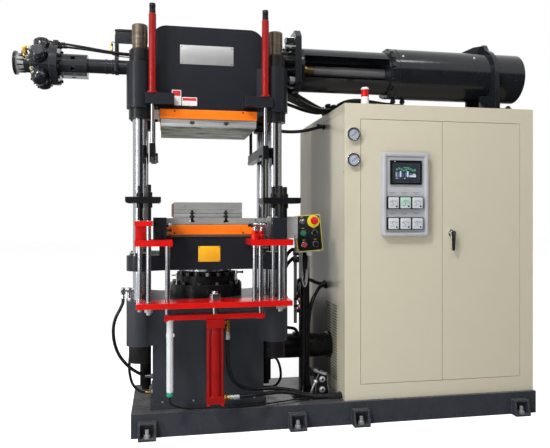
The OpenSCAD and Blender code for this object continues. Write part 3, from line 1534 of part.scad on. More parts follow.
crown_hose_d = 26;
crown_hoses = [
    [[crown_w / 2, -70, 2190], [crown_w / 2 + 35, -70, 2190], [560, -16, 2112], [700, 60, 2078],
        [800, 150, 2090], [864, 202, 2112], [906, 212, 2108], [906, 212, 2082]],
    [[crown_w / 2, -30, 2170], [crown_w / 2 + 35, -30, 2170], [560, 20, 2096], [700, 100, 2062],
        [800, 185, 2084], [868, 232, 2110], [914, 243, 2106], [914, 243, 2082]],
    [[crown_w / 2, 10, 2198], [crown_w / 2 + 35, 10, 2198], [560, 60, 2136], [700, 130, 2096],
        [800, 222, 2106], [870, 262, 2124], [926, 271, 2112], [926, 271, 2082]],
];
lift_hose_d = 18;
lift_hoses = [
    [[crown_w / 2, -96, 2120], [crown_w / 2 + 30, -96, 2120], [560, -70, 2062], [700, 20, 2040],
        [820, 140, 2066], [890, 184, 2096], [890, 184, 2082]],
    [[crown_w / 2, 60, 2140], [crown_w / 2 + 30, 60, 2140], [600, 110, 2066], [720, 170, 2050],
        [820, 240, 2074], [890, 276, 2096], [890, 276, 2082]],
    [[300, 100, 1960], [330, 100, 1960], [440, 112, 1944], [570, 140, 1934],
        [700, 172, 1946], [830, 190, 1980], [868, 190, 1980]],
];
rear_hoses = [
    [[944, 200, 2082], [944, 200, 2104], [1060, 140, 2128],
        [1230, 64, 2108], [1330, 40, 2126], [1330, 40, 2158]],
    [[944, 236, 2082], [944, 236, 2106], [1080, 196, 2134],
        [1290, 86, 2106], [1400, 40, 2122], [1400, 40, 2158]],
];
feeder_hose_d = 16;
feeder_hoses = [
    [[-927, -50, 2430], [-890, -50, 2430], [-640, -48, 2388], [-390, -44, 2392], [-350, -44, 2392]],
    [[-927, 26, 2430], [-890, 26, 2430], [-640, 34, 2390], [-390, 38, 2392], [-350, 38, 2392]],
];

module hydraulic_hoses() {
    color([0.06, 0.06, 0.07]) {
        for (h = crown_hoses) tube(h, crown_hose_d);
        for (h = concat(lift_hoses, rear_hoses)) tube(h, lift_hose_d);
        for (h = feeder_hoses) tube(h, feeder_hose_d);
    }
}

ejector_hose_d = 20;
ejector_hose_list = [
    [[107, -455, 259], [140, -455, 259], [230, -420, 244], [330, -370, 222], [440, -320, 198],
        [560, -280, 170], [680, -256, 160], [830, -228, 160], [868, -228, 160]],
    [[107, -455, 707], [140, -455, 707], [200, -440, 610], [230, -410, 500], [270, -368, 370],
        [360, -310, 256], [470, -262, 192], [600, -228, 162], [830, -200, 160], [868, -200, 160]],
];

module ejector_hoses() {
    color([0.06, 0.06, 0.07]) for (h = ejector_hose_list) tube(h, ejector_hose_d);
}

base_frame();
levelling_feet();
lower_beam();
press_cylinders();
prefill_pipe();
tie_columns();
column_nuts();
column_caps();
crown();
upper_cover();
upper_heating_plate();
lift_cylinders();
lift_rod_left();
lift_arm_left();
lift_rod_right();
lift_arm_right();
moving_platen();
press_rams();
lower_cover();
lower_heating_plate();
mould_block();
ejector_brackets();
ejector_guide_blocks();
ejector_crossbar();
ejector_cylinder();
position_sensor();
ejector_plate();
ejector_rods();
ejector_yokes();
injection_flange();
guide_tube();
injection_cylinder();
guide_bush();
injection_plunger();
feed_barrel();
bearing_housing();
screw_motor();
feed_screw();
cabinet_shell();
door_left();
door_right();
door_handle();
control_panel();
panel_screen();
panel_meters();
pressure_gauges();
beacon();
oil_tank();
pump_motor();
switch_plate();
station_post();
station_box();
selector_knob();
emergency_button();
start_button();
stop_button();
jog_up_button();
jog_down_button();
hydraulic_hoses();
ejector_hoses();
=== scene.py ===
# Looks for a four-column rubber moulding press: finishes, fasteners, fittings, hoses and panels
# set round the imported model. Metres, +X right, +Y back, +Z up, origin on the floor below the platens.
import math
import random

import bmesh
import bpy
from mathutils import Matrix, Vector


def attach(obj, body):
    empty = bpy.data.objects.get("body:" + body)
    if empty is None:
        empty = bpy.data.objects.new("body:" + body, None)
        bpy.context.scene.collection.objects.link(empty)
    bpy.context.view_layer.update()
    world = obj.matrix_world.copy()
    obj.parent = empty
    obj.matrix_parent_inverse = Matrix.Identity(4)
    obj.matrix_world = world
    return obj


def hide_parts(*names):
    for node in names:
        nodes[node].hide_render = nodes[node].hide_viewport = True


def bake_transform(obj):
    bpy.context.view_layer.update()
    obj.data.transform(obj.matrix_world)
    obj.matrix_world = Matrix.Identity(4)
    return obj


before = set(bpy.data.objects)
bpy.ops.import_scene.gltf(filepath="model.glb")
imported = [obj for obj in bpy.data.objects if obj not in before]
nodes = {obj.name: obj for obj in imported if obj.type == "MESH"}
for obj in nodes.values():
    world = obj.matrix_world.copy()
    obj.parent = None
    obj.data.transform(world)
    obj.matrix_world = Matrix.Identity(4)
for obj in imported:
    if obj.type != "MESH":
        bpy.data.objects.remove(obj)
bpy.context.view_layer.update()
scene = bpy.context.scene
random.seed(7)
print("frame loaded:", len(nodes), "nodes")

# objects, sheets and materials

def addObject(name, data):
    obj = bpy.data.objects.new(name, data)
    scene.collection.objects.link(obj)
    return obj


def addSheet(name, corners, mat):
    data = bpy.data.meshes.new(name)
    data.from_pydata(corners, [], [(0, 1, 2, 3)])
    data.materials.append(mat)
    return addObject(name, data)


def newMaterial(name):
    mat = bpy.data.materials.new(name)
    mat.use_nodes = True
    return mat, mat.node_tree


def bareMaterial(name):
    # a material with nothing in it but its output
    mat, tree = newMaterial(name)
    tree.nodes.clear()
    return mat, tree, tree.nodes.new("ShaderNodeOutputMaterial")


def coloured(tree, kind, colour):
    node = tree.nodes.new(kind)
    node.inputs["Color"].default_value = (*colour, 1)
    return node


# node helpers, each gives the socket that the next one takes

def blendColour(tree, amount, first, second):
    mix = tree.nodes.new("ShaderNodeMix")
    mix.data_type = "RGBA"
    for index, value in ((0, amount), (6, first), (7, second)):
        if isinstance(value, tuple):
            mix.inputs[index].default_value = (*value, 1)
        elif isinstance(value, float):
            mix.inputs[index].default_value = value
        else:
            tree.links.new(value, mix.inputs[index])
    return mix.outputs[2]


def noiseOf(tree, coords, scale, detail=3.0):
    node = tree.nodes.new("ShaderNodeTexNoise")
    node.inputs["Scale"].default_value = scale
    node.inputs["Detail"].default_value = detail
    tree.links.new(coords, node.inputs["Vector"])
    return node.outputs[0]


def ranged(tree, value, low, high, newLow, newHigh):
    node = tree.nodes.new("ShaderNodeMapRange")
    ends = {"From Min": low, "From Max": high, "To Min": newLow, "To Max": newHigh}
    for socket, number in ends.items():
        node.inputs[socket].default_value = number
    tree.links.new(value, node.inputs["Value"])
    return node.outputs[0]


def times(tree, first, second, kind="MULTIPLY"):
    node = tree.nodes.new("ShaderNodeMath")
    node.operation = kind
    for index, value in enumerate((first, second)):
        if isinstance(value, (int, float)):
            node.inputs[index].default_value = value
        else:
            tree.links.new(value, node.inputs[index])
    return node.outputs[0]


def larger(tree, first, second):
    return times(tree, first, second, "MAXIMUM")


def stretched(tree, scale):
    coords = tree.nodes.new("ShaderNodeTexCoord")
    mapping = tree.nodes.new("ShaderNodeMapping")
    mapping.inputs["Scale"].default_value = scale
    tree.links.new(coords.outputs["Object"], mapping.inputs["Vector"])
    return mapping.outputs[0]


def splitOf(tree, value):
    split = tree.nodes.new("ShaderNodeSeparateXYZ")
    tree.links.new(value, split.inputs[0])
    return split.outputs


# camera, lamps, sky and floor

camera = {
    "at": (-0.288, -4.012, 1.331),
    "turn": 10.66,      # degrees to the right of straight ahead
    "lens": 39.27,
    "sensor": 36,
    "shiftUp": -0.0127,
}

lamps = {
    "key": dict(at=(-3.04, -3.92, 5.85), size=(1.1, 1.1), power=318, colour=(1.0, 0.985, 0.95)),
    "side": dict(at=(-4.6, -3.5, 2.2), size=(0.8, 3.2), power=125),
    "right": dict(at=(5.2, -2.6, 2.6), size=(0.7, 3.0), power=15),
    "top": dict(at=(1.0, -2.3, 4.9), size=(3.8, 0.3), power=50),
    "low": dict(at=(-2.0, -4.4, 0.4), size=(1.5, 0.4), power=48, mirrored=False),
}
lampAim = (0.6, 0.0, 1.3)

studio = {
    "skyTop": 0.23,         # light from straight above
    "skySide": 0.145,       # light from the horizon
    "skyColour": (0.97, 0.985, 1.0),
    "white": (1.0, 1.0, 1.0),
    "floorSize": 60,
    "floorColour": (0.80, 0.80, 0.795),
    "floorGlow": 0.82,      # how far the floor is lifted to the white of the backdrop
}


def makeCamera():
    data = bpy.data.cameras.new("camera")
    data.lens = camera["lens"]
    data.sensor_width = camera["sensor"]
    data.shift_y = camera["shiftUp"]
    obj = addObject("camera", data)
    obj.location = camera["at"]
    obj.rotation_euler = (math.radians(90), 0, -math.radians(camera["turn"]))
    scene.camera = obj


def makeLamp(name, at, size, power, colour=studio["white"], mirrored=True):
    data = bpy.data.lights.new(name, "AREA")
    data.energy = power
    data.color = colour
    data.shape = "RECTANGLE"
    data.size, data.size_y = size
    obj = addObject(name, data)
    obj.location = at
    obj.rotation_euler = (Vector(lampAim) - Vector(at)).to_track_quat("-Z", "Y").to_euler()
    obj.visible_glossy = mirrored


def backdropRays(tree):
    # 1 for the rays that should meet the plain white backdrop
    path = tree.nodes.new("ShaderNodeLightPath").outputs
    return larger(tree, larger(tree, path["Is Camera Ray"], path["Is Glossy Ray"]),
                  path["Is Transmission Ray"])


def makeSky():
    world = bpy.data.worlds.new("studio")
    scene.world = world
    world.use_nodes = True
    tree = world.node_tree
    tree.nodes.clear()
    out = tree.nodes.new("ShaderNodeOutputWorld")
    coords = tree.nodes.new("ShaderNodeTexCoord")
    height = splitOf(tree, coords.outputs["Generated"])["Z"]
    sky = coloured(tree, "ShaderNodeBackground", studio["skyColour"])
    tree.links.new(ranged(tree, height, -0.1, 0.9, studio["skySide"], studio["skyTop"]),
                   sky.inputs["Strength"])
    plain = coloured(tree, "ShaderNodeBackground", studio["white"])
    mix = tree.nodes.new("ShaderNodeMixShader")
    for index, socket in enumerate((backdropRays(tree), sky.outputs[0], plain.outputs[0])):
        tree.links.new(socket, mix.inputs[index])
    tree.links.new(mix.outputs[0], out.inputs["Surface"])


def makeFloor():
    half = studio["floorSize"] / 2
    mat, tree, out = bareMaterial("floor")
    diffuse = coloured(tree, "ShaderNodeBsdfDiffuse", studio["floorColour"])
    glow = coloured(tree, "ShaderNodeEmission", studio["white"])
    tree.links.new(times(tree, backdropRays(tree), studio["floorGlow"]), glow.inputs["Strength"])
    both = tree.nodes.new("ShaderNodeAddShader")
    tree.links.new(diffuse.outputs[0], both.inputs[0])
    tree.links.new(glow.outputs[0], both.inputs[1])
    tree.links.new(both.outputs[0], out.inputs["Surface"])
    corners = [(-half, -half, 0), (half, -half, 0), (half, half, 0), (-half, half, 0)]
    addSheet("floor", corners, mat)


# dark cards out of the picture, which steel and gloss paint mirror between the lamps

cardColour = (0.11, 0.11, 0.115)
cards = {
    "front": ((-0.8, -9.0, 0), (9.0, -9.0, 0), (9.0, -9.0, 5.2), (-0.8, -9.0, 5.2)),
    "floor": ((-3.2, -9.0, 0.002), (9.0, -9.0, 0.002), (9.0, 6.0, 0.002), (-3.2, 6.0, 0.002)),
    "right": ((6.4, -6.0, 0), (6.4, 1.5, 0), (6.4, 1.5, 4.4), (6.4, -6.0, 4.4)),
    "back": ((-1.28, 7.0, 0), (-0.30, 7.0, 0), (-0.30, 7.0, 3.4), (-1.28, 7.0, 3.4)),
}

# shade beside the cabinet's left side, where the press keeps the light off it

shade = {
    "x": 0.845,
    "y": (-0.02, 0.60),
    "z": (0.10, 2.06),
    "soft": 0.10,
    "clear": (0.05, 0.42),      # light let through low down and at the top
    "levels": (1.15, 1.45),
}


def makeCards():
    mat, tree, out = bareMaterial("card")
    dark = coloured(tree, "ShaderNodeBsdfDiffuse", cardColour)
    tree.links.new(dark.outputs[0], out.inputs["Surface"])
    for name, corners in cards.items():
        obj = addSheet(name + "Card", corners, mat)
        obj.visible_camera = False
        obj.visible_diffuse = False
        obj.visible_shadow = False
        obj.visible_transmission = False


def makeShade():
    x, (y0, y1), (z0, z1), soft = shade["x"], shade["y"], shade["z"], shade["soft"]
    mat, tree, out = bareMaterial("shade")
    coords = tree.nodes.new("ShaderNodeTexCoord")
    at = splitOf(tree, coords.outputs["Object"])
    high = ranged(tree, at["Z"], *shade["levels"], *shade["clear"])
    near = ranged(tree, at["Y"], y0, y0 + soft, 1.0, 0.0)
    far = ranged(tree, at["Y"], y1 - soft, y1, 0.0, 1.0)
    through = tree.nodes.new("ShaderNodeBsdfTransparent")
    tree.links.new(larger(tree, larger(tree, high, near), far), through.inputs["Color"])
    tree.links.new(through.outputs[0], out.inputs["Surface"])
    obj = addSheet("shade", [(x, y0, z0), (x, y1, z0), (x, y1, z1), (x, y0, z1)], mat)
    obj.visible_camera = False
    obj.visible_glossy = False


makeCamera()
makeSky()
for name, spec in lamps.items():
    makeLamp(name, **spec)
makeCards()
makeShade()
makeFloor()
scene.view_settings.view_transform = "Standard"
print("camera and light made")

# finishes

# each finish's edge colour, lighter than its paint, is partly worn paint and partly a painted highlight
# along the edges
finishes = {
    "framePaint": dict(colour=(0.0130, 0.0142, 0.0185), tint=(0.0145, 0.0158, 0.0205), rough=0.30,
        grain=260, depth=0.04, dust=0.04, edge=(0.09, 0.10, 0.11), edgeWearAndHighlightAmount=0.5, shine=0.17,
        uneven=0.06),
    "glossPaint": dict(colour=(0.0085, 0.0095, 0.013), tint=(0.012, 0.013, 0.017), rough=0.17, grain=220,
        depth=0.06, dust=0.02, edge=(0.09, 0.10, 0.11), edgeWearAndHighlightAmount=0.4, shine=0.42),
    "basePaint": dict(colour=(0.030, 0.034, 0.043), tint=(0.037, 0.041, 0.051), rough=0.30, grain=240,
        depth=0.18, dust=0.22, edge=(0.24, 0.25, 0.26), edgeWearAndHighlightAmount=0.9, shine=0.28),
    # the frame's paint made lighter for the lower beam: painted fill light on a front that the lamps leave
    # in shade
    "benchPaintWithPaintedLight": dict(colour=(0.028, 0.032, 0.039), tint=(0.032, 0.036, 0.044), rough=0.32, grain=260,
        depth=0.04, dust=0.04, edge=(0.09, 0.10, 0.11), edgeWearAndHighlightAmount=0.5, shine=0.22, uneven=0.06),
    "blackPaint": dict(colour=(0.0050, 0.0052, 0.0062), tint=(0.0085, 0.0085, 0.010), rough=0.28,
        depth=0.12, dust=0.03, edge=(0.07, 0.07, 0.075), edgeWearAndHighlightAmount=0.4, shine=0.16),
    "blackOxide": dict(colour=(0.0075, 0.0072, 0.0075), tint=(0.013, 0.012, 0.012), rough=0.32, grain=420,
        edge=(0.15, 0.14, 0.13), edgeWearAndHighlightAmount=0.5, shine=0.2),
    "darkSteel": dict(colour=(0.060, 0.058, 0.058), tint=(0.11, 0.105, 0.10), rough=0.30, metal=0.8,
        grain=420, edge=(0.35, 0.34, 0.33), edgeWearAndHighlightAmount=0.7),
    "redPaint": dict(colour=(0.56, 0.005, 0.0035), tint=(0.48, 0.004, 0.003), rough=0.20, depth=0.06,
        edge=(0.75, 0.05, 0.04), edgeWearAndHighlightAmount=0.4, shine=0.34),
    "deepRed": dict(colour=(0.27, 0.0045, 0.0035), tint=(0.22, 0.0038, 0.003), rough=0.22, depth=0.05,
        edge=(0.60, 0.05, 0.04), edgeWearAndHighlightAmount=0.35, shine=0.30),
    "orangePaint": dict(colour=(0.92, 0.185, 0.006), tint=(0.85, 0.16, 0.005), rough=0.36,
        edge=(0.95, 0.32, 0.06), edgeWearAndHighlightAmount=0.5, shine=0.35),
    "polishedSteel": dict(colour=(0.40, 0.41, 0.44), tint=(0.36, 0.37, 0.395), rough=0.16, metal=1.0,
        grain=160, depth=0.0, stretch=(1, 1, 0.04)),
    "turnedSteel": dict(colour=(0.30, 0.30, 0.31), tint=(0.23, 0.23, 0.235), rough=0.34, metal=0.4,
        grain=400, depth=0.05, stretch=(0.05, 1, 1)),
    "plateSteel": dict(colour=(0.38, 0.385, 0.38), tint=(0.30, 0.305, 0.30), rough=0.36, metal=0.35,
        grain=500, depth=0.05, stretch=(0.06, 1, 1), edge=(0.62, 0.62, 0.62), edgeWearAndHighlightAmount=0.5),
    "brushedPlate": dict(colour=(0.34, 0.34, 0.345), tint=(0.30, 0.30, 0.305), rough=0.42, metal=0.3,
        grain=700, stretch=(0.03, 1, 1)),
    "zincPlate": dict(colour=(0.52, 0.53, 0.55), tint=(0.38, 0.39, 0.40), rough=0.30, metal=0.6,
        grain=500, depth=0.06),
    "chrome": dict(colour=(0.72, 0.73, 0.75), tint=(0.66, 0.67, 0.69), rough=0.07, metal=1.0, depth=0.02),
    "darkBronze": dict(colour=(0.150, 0.122, 0.090), tint=(0.085, 0.068, 0.052), rough=0.34, metal=0.8,
        grain=500, depth=0.05, stretch=(1, 1, 10), edge=(0.45, 0.40, 0.32), edgeWearAndHighlightAmount=0.6),
    "brass": dict(colour=(0.72, 0.46, 0.13), tint=(0.55, 0.34, 0.10), rough=0.25, metal=1.0, grain=500,
        depth=0.05),
    "agedBrass": dict(colour=(0.34, 0.27, 0.10), tint=(0.24, 0.19, 0.07), rough=0.32, metal=0.8,
        grain=500, depth=0.05),
    "beigePaint": dict(colour=(0.545, 0.508, 0.400), tint=(0.538, 0.500, 0.393), rough=0.24, grain=700,
        depth=0.02, edge=(0.62, 0.60, 0.50), edgeWearAndHighlightAmount=0.25, shine=0.40, uneven=0.03),
    # dark brown for the joints between sheets, and painted shade inside the cabinet and in screw slots
    "seamLineAndPaintedShade": dict(colour=(0.16, 0.14, 0.10), tint=(0.12, 0.105, 0.08), rough=0.7, grain=500,
        depth=0.05, shine=0.1),
    "greyPaint": dict(colour=(0.42, 0.43, 0.455), tint=(0.39, 0.40, 0.425), rough=0.36, grain=500,
        depth=0.06, edge=(0.66, 0.67, 0.68), edgeWearAndHighlightAmount=0.4, shine=0.4),
    "stripGrey": dict(colour=(0.26, 0.265, 0.27), tint=(0.20, 0.205, 0.21), rough=0.4, metal=0.5,
        grain=500, depth=0.06, stretch=(0.08, 1, 1)),
    "lightGrey": dict(colour=(0.62, 0.63, 0.62), tint=(0.54, 0.55, 0.54), rough=0.38, grain=400,
        depth=0.05),
    "blackPlastic": dict(colour=(0.006, 0.006, 0.0075), tint=(0.010, 0.010, 0.012), rough=0.30, grain=900,
        shine=0.2),
    "glossBlack": dict(colour=(0.005, 0.005, 0.007), tint=(0.008, 0.008, 0.010), rough=0.16, depth=0.01,
        shine=0.35),
    "whitePlastic": dict(colour=(0.74, 0.75, 0.74), tint=(0.68, 0.69, 0.68), rough=0.32, grain=400,
        depth=0.04),
    "dialWhite": dict(colour=(0.56, 0.58, 0.61), tint=(0.50, 0.53, 0.56), rough=0.35, grain=60,
        depth=0.0),
    "dialMint": dict(colour=(0.42, 0.60, 0.53), tint=(0.38, 0.55, 0.48), rough=0.35, grain=60, depth=0.0),
    "dialBlue": dict(colour=(0.36, 0.40, 0.48), tint=(0.31, 0.35, 0.42), rough=0.45, grain=60, depth=0.0),
    # black for print, and as painted shade in slots, notches and openings
    "printAndPaintedShadeBlack": dict(colour=(0.012, 0.012, 0.016), tint=(0.02, 0.02, 0.025), rough=0.5, grain=500,
        depth=0.02),
    "inkBlue": dict(colour=(0.02, 0.05, 0.18), tint=(0.03, 0.06, 0.20), rough=0.5, grain=500, depth=0.02),
    "redPlastic": dict(colour=(0.62, 0.014, 0.018), tint=(0.54, 0.012, 0.015), rough=0.28, grain=400,
        depth=0.04),
    "softRed": dict(colour=(0.66, 0.05, 0.06), tint=(0.60, 0.04, 0.05), rough=0.33, grain=400,
        depth=0.04),
    "greenPlastic": dict(colour=(0.016, 0.40, 0.22), tint=(0.014, 0.34, 0.19), rough=0.3, grain=400,
        depth=0.04),
    "yellowPaint": dict(colour=(0.80, 0.68, 0.035), tint=(0.74, 0.61, 0.028), rough=0.38, grain=400,
        depth=0.04),
    "amberPlate": dict(colour=(0.88, 0.46, 0.010), tint=(0.84, 0.38, 0.008), rough=0.36, grain=26,
        depth=0.03),
    "tealPlastic": dict(colour=(0.02, 0.30, 0.19), tint=(0.02, 0.24, 0.15), rough=0.35, grain=400,
        depth=0.04),
    "clearTube": dict(colour=(0.60, 0.64, 0.66), tint=(0.52, 0.56, 0.58), rough=0.25, depth=0.03),
    "tankPaint": dict(colour=(0.06, 0.12, 0.17), tint=(0.05, 0.10, 0.15), rough=0.4, grain=260,
        depth=0.12, dust=0.2),
    "motorPaint": dict(colour=(0.02, 0.07, 0.19), tint=(0.02, 0.06, 0.15), rough=0.36, grain=260,
        depth=0.2, dust=0.15),
    "brownBoard": dict(colour=(0.30, 0.17, 0.09), tint=(0.20, 0.11, 0.06), rough=0.7, depth=0.3,
        stretch=(1, 1, 6)),
    "heatBrown": dict(colour=(0.26, 0.115, 0.045), tint=(0.15, 0.075, 0.04), rough=0.42, metal=0.5,
        grain=120, depth=0.08, stretch=(1, 1, 3)),
    "rustBrown": dict(colour=(0.045, 0.028, 0.022), tint=(0.085, 0.045, 0.030), rough=0.5, metal=0.3,
        grain=220, depth=0.3),
    "hoseRubber": dict(colour=(0.006, 0.006, 0.0075), tint=(0.010, 0.010, 0.012), rough=0.22, grain=500,
        shine=0.36),
    "conduitGrey": dict(colour=(0.40, 0.41, 0.41), tint=(0.32, 0.33, 0.33), rough=0.42, grain=400,
        depth=0.05),
    "screenGreen": dict(colour=(0.10, 0.34, 0.22), tint=(0.07, 0.26, 0.17), rough=0.3, grain=90,
        depth=0.0),
    "screenBlue": dict(colour=(0.10, 0.16, 0.36), tint=(0.08, 0.12, 0.28), rough=0.3, grain=90,
        depth=0.0),
    "screenSlate": dict(colour=(0.030, 0.038, 0.050), tint=(0.022, 0.028, 0.038), rough=0.3, grain=60,
        depth=0.0),
    "screenWhite": dict(colour=(0.62, 0.68, 0.74), tint=(0.50, 0.56, 0.62), rough=0.3, grain=90,
        depth=0.0),
}
dustColour = (0.34, 0.32, 0.29)
edgeWearAndHighlightRadius = 0.004      # how far in from an edge its paint is rubbed and lightened as a painted highlight, in metres


def edgeMask(tree, coords, radius):
    # near an edge the rounded normal leans away from the true one
    bevel = tree.nodes.new("ShaderNodeBevel")
    bevel.samples = 4
    bevel.inputs["Radius"].default_value = radius
    geometry = tree.nodes.new("ShaderNodeNewGeometry")
    dot = tree.nodes.new("ShaderNodeVectorMath")
    dot.operation = "DOT_PRODUCT"
    tree.links.new(bevel.outputs[0], dot.inputs[0])
    tree.links.new(geometry.outputs["Normal"], dot.inputs[1])
    near = ranged(tree, dot.outputs["Value"], 0.80, 0.995, 1.0, 0.0)
    patchy = ranged(tree, noiseOf(tree, coords, 55, 4), 0.35, 0.62, 0.15, 1.0)
    return times(tree, near, patchy)


def upMask(tree, coords):
    geometry = tree.nodes.new("ShaderNodeNewGeometry")
    upward = splitOf(tree, geometry.outputs["Normal"])["Z"]
    patchy = ranged(tree, noiseOf(tree, coords, 7, 5), 0.3, 0.7, 0.35, 1.0)
    return times(tree, ranged(tree, upward, 0.6, 1.0, 0.0, 1.0), patchy)


def addBump(tree, shader, height, strength, distance):
    bump = tree.nodes.new("ShaderNodeBump")
    bump.inputs["Strength"].default_value = strength
    bump.inputs["Distance"].default_value = distance
    tree.links.new(height, bump.inputs["Height"])
    tree.links.new(bump.outputs[0], shader.inputs["Normal"])


def makeFinish(name, colour, tint, rough, metal=0.0, grain=300, depth=0.1, dust=0.0, edge=None,
               edgeWearAndHighlightAmount=0.0, stretch=(1, 1, 1), shine=0.5, uneven=0.2):
    mat, tree = newMaterial(name)
    shader = tree.nodes["Principled BSDF"]
    shader.inputs["Metallic"].default_value = metal
    shader.inputs["Specular IOR Level"].default_value = shine
    coords = stretched(tree, stretch)
    plain = stretched(tree, (1, 1, 1))
    cloud = ranged(tree, noiseOf(tree, coords, 9, 5), 0.35, 0.65, 0.0, 1.0)
    tone = blendColour(tree, cloud, colour, tint)
    if dust:
        tone = blendColour(tree, times(tree, upMask(tree, plain), dust), tone, dustColour)
    # edges take the lighter edge colour: partly rubbed paint, partly a painted highlight
    if edge:
        wornAndHighlitEdge = times(tree, edgeMask(tree, plain, edgeWearAndHighlightRadius), edgeWearAndHighlightAmount)
        tone = blendColour(tree, wornAndHighlitEdge, tone, edge)
    tree.links.new(tone, shader.inputs["Base Color"])
    smudge = noiseOf(tree, plain, 16, 4)
    tree.links.new(ranged(tree, smudge, 0.3, 0.7, rough * (1 - uneven), rough * (1 + uneven)),
                   shader.inputs["Roughness"])
    if depth:
        addBump(tree, shader, noiseOf(tree, coords, grain, 3), depth, 0.0006)
    return mat


# the working face of the upper plate: streaks and patches that heat and old rubber leave
wornPlate = {
    "bright": (0.52, 0.54, 0.48),
    "stained": (0.20, 0.225, 0.165),
    "soot": (0.035, 0.040, 0.035),
    "rough": 0.5,
    "metal": 0.35,
}


def makeWornPlate():
    mat, tree = newMaterial("wornPlate")
    shader = tree.nodes["Principled BSDF"]
    shader.inputs["Metallic"].default_value = wornPlate["metal"]
    shader.inputs["Roughness"].default_value = wornPlate["rough"]
    wide = stretched(tree, (0.45, 1, 1))
    fine = stretched(tree, (0.3, 1.6, 1))
    patch = ranged(tree, noiseOf(tree, wide, 14, 8), 0.44, 0.60, 0.0, 1.0)
    streak = ranged(tree, noiseOf(tree, fine, 42, 8), 0.54, 0.66, 0.0, 0.85)
    colour = blendColour(tree, patch, wornPlate["bright"], wornPlate["stained"])
    colour = blendColour(tree, streak, colour, wornPlate["soot"])
    tree.links.new(colour, shader.inputs["Base Color"])
    addBump(tree, shader, noiseOf(tree, wide, 60, 6), 0.2, 0.001)
    return mat


paints = {name: makeFinish(name, **spec) for name, spec in finishes.items()}
paints["wornPlate"] = makeWornPlate()
print("finishes made:", len(paints))

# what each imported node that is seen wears, and how far its edges are eased, in millimetres

wears = {
    "benchPaintWithPaintedLight": {"lower_beam": 3},
    "framePaint": {"crown": 4, "moving_platen": 3, "ejector_guide_blocks": 2},
    "glossPaint": {"injection_flange": 3, "guide_tube": 2, "injection_cylinder": 3, "feed_barrel": 1.5,
                   "bearing_housing": 2},
    "basePaint": {"base_frame": 3},
    "blackPaint": {"press_cylinders": 2, "lift_arm_left": 2, "lift_arm_right": 2,
                   "ejector_yokes": 2.5, "station_post": 2},
    "blackOxide": {"column_nuts": 3},
    "redPaint": {"ejector_brackets": 3, "ejector_crossbar": 3, "ejector_plate": 4},
    "deepRed": {"lift_cylinders": 1.5, "ejector_cylinder": 2},
    "orangePaint": {"upper_cover": 2.5, "lower_cover": 2.5},
    "polishedSteel": {"tie_columns": 0, "press_rams": 0, "lift_rod_left": 0, "lift_rod_right": 0,
                      "ejector_rods": 1.5, "feed_screw": 0},
    "turnedSteel": {"injection_plunger": 0},
    "darkBronze": {"column_caps": 2},
    "brass": {"guide_bush": 1},
    "plateSteel": {"upper_heating_plate": 1.5, "lower_heating_plate": 1.5, "mould_block": 1.5},
    "beigePaint": {"cabinet_shell": 1.5, "door_left": 1.5, "door_right": 1.5},
    "lightGrey": {"station_box": 2},
    "zincPlate": {"levelling_feet": 1, "switch_plate": 0.5},
    "chrome": {"pressure_gauges": 1, "door_handle": 2},
    "blackPlastic": {"panel_meters": 2, "jog_up_button": 1, "jog_down_button": 1},
    "glossBlack": {"panel_screen": 1.5},
    "whitePlastic": {"beacon": 1},
    "redPlastic": {"emergency_button": 0},
    "softRed": {"stop_button": 1},
    "greenPlastic": {"start_button": 1},
    "clearTube": {"position_sensor": 1},
    "tankPaint": {"oil_tank": 2},
    "motorPaint": {"pump_motor": 1},
}

stationPlace = (Matrix.Translation((647, -230, 1227)) @ Matrix.Rotation(math.radians(-3.5), 4, "Y")
                @ Matrix.Rotation(math.radians(-8), 4, "X"))
stationBack = stationPlace.inverted()


def inBox(point, low, high):
    return all(a <= c <= b for a, c, b in zip(low, point, high))


def stationPart(point):
    at = stationBack @ point
    if at.y > -0.4:
        return "side"
    if at.x > -12 and at.z > 30:
        return "stopDisc"
    return "ring"


switchRows = {"plateY": 912, "railY": 905, "low": 1080, "pitch": 240, "rail": 20, "duct": (90, 150)}


def switchPart(point):
    spec = switchRows
    if point.y > spec["plateY"]:
        return "plate"
    level = (point.z - spec["low"]) % spec["pitch"]
    if point.y > spec["railY"] and not spec["rail"] <= level <= spec["pitch"] - spec["rail"]:
        return "rail"
    low, high = spec["duct"]
    return "duct" if low < level < high else "device"


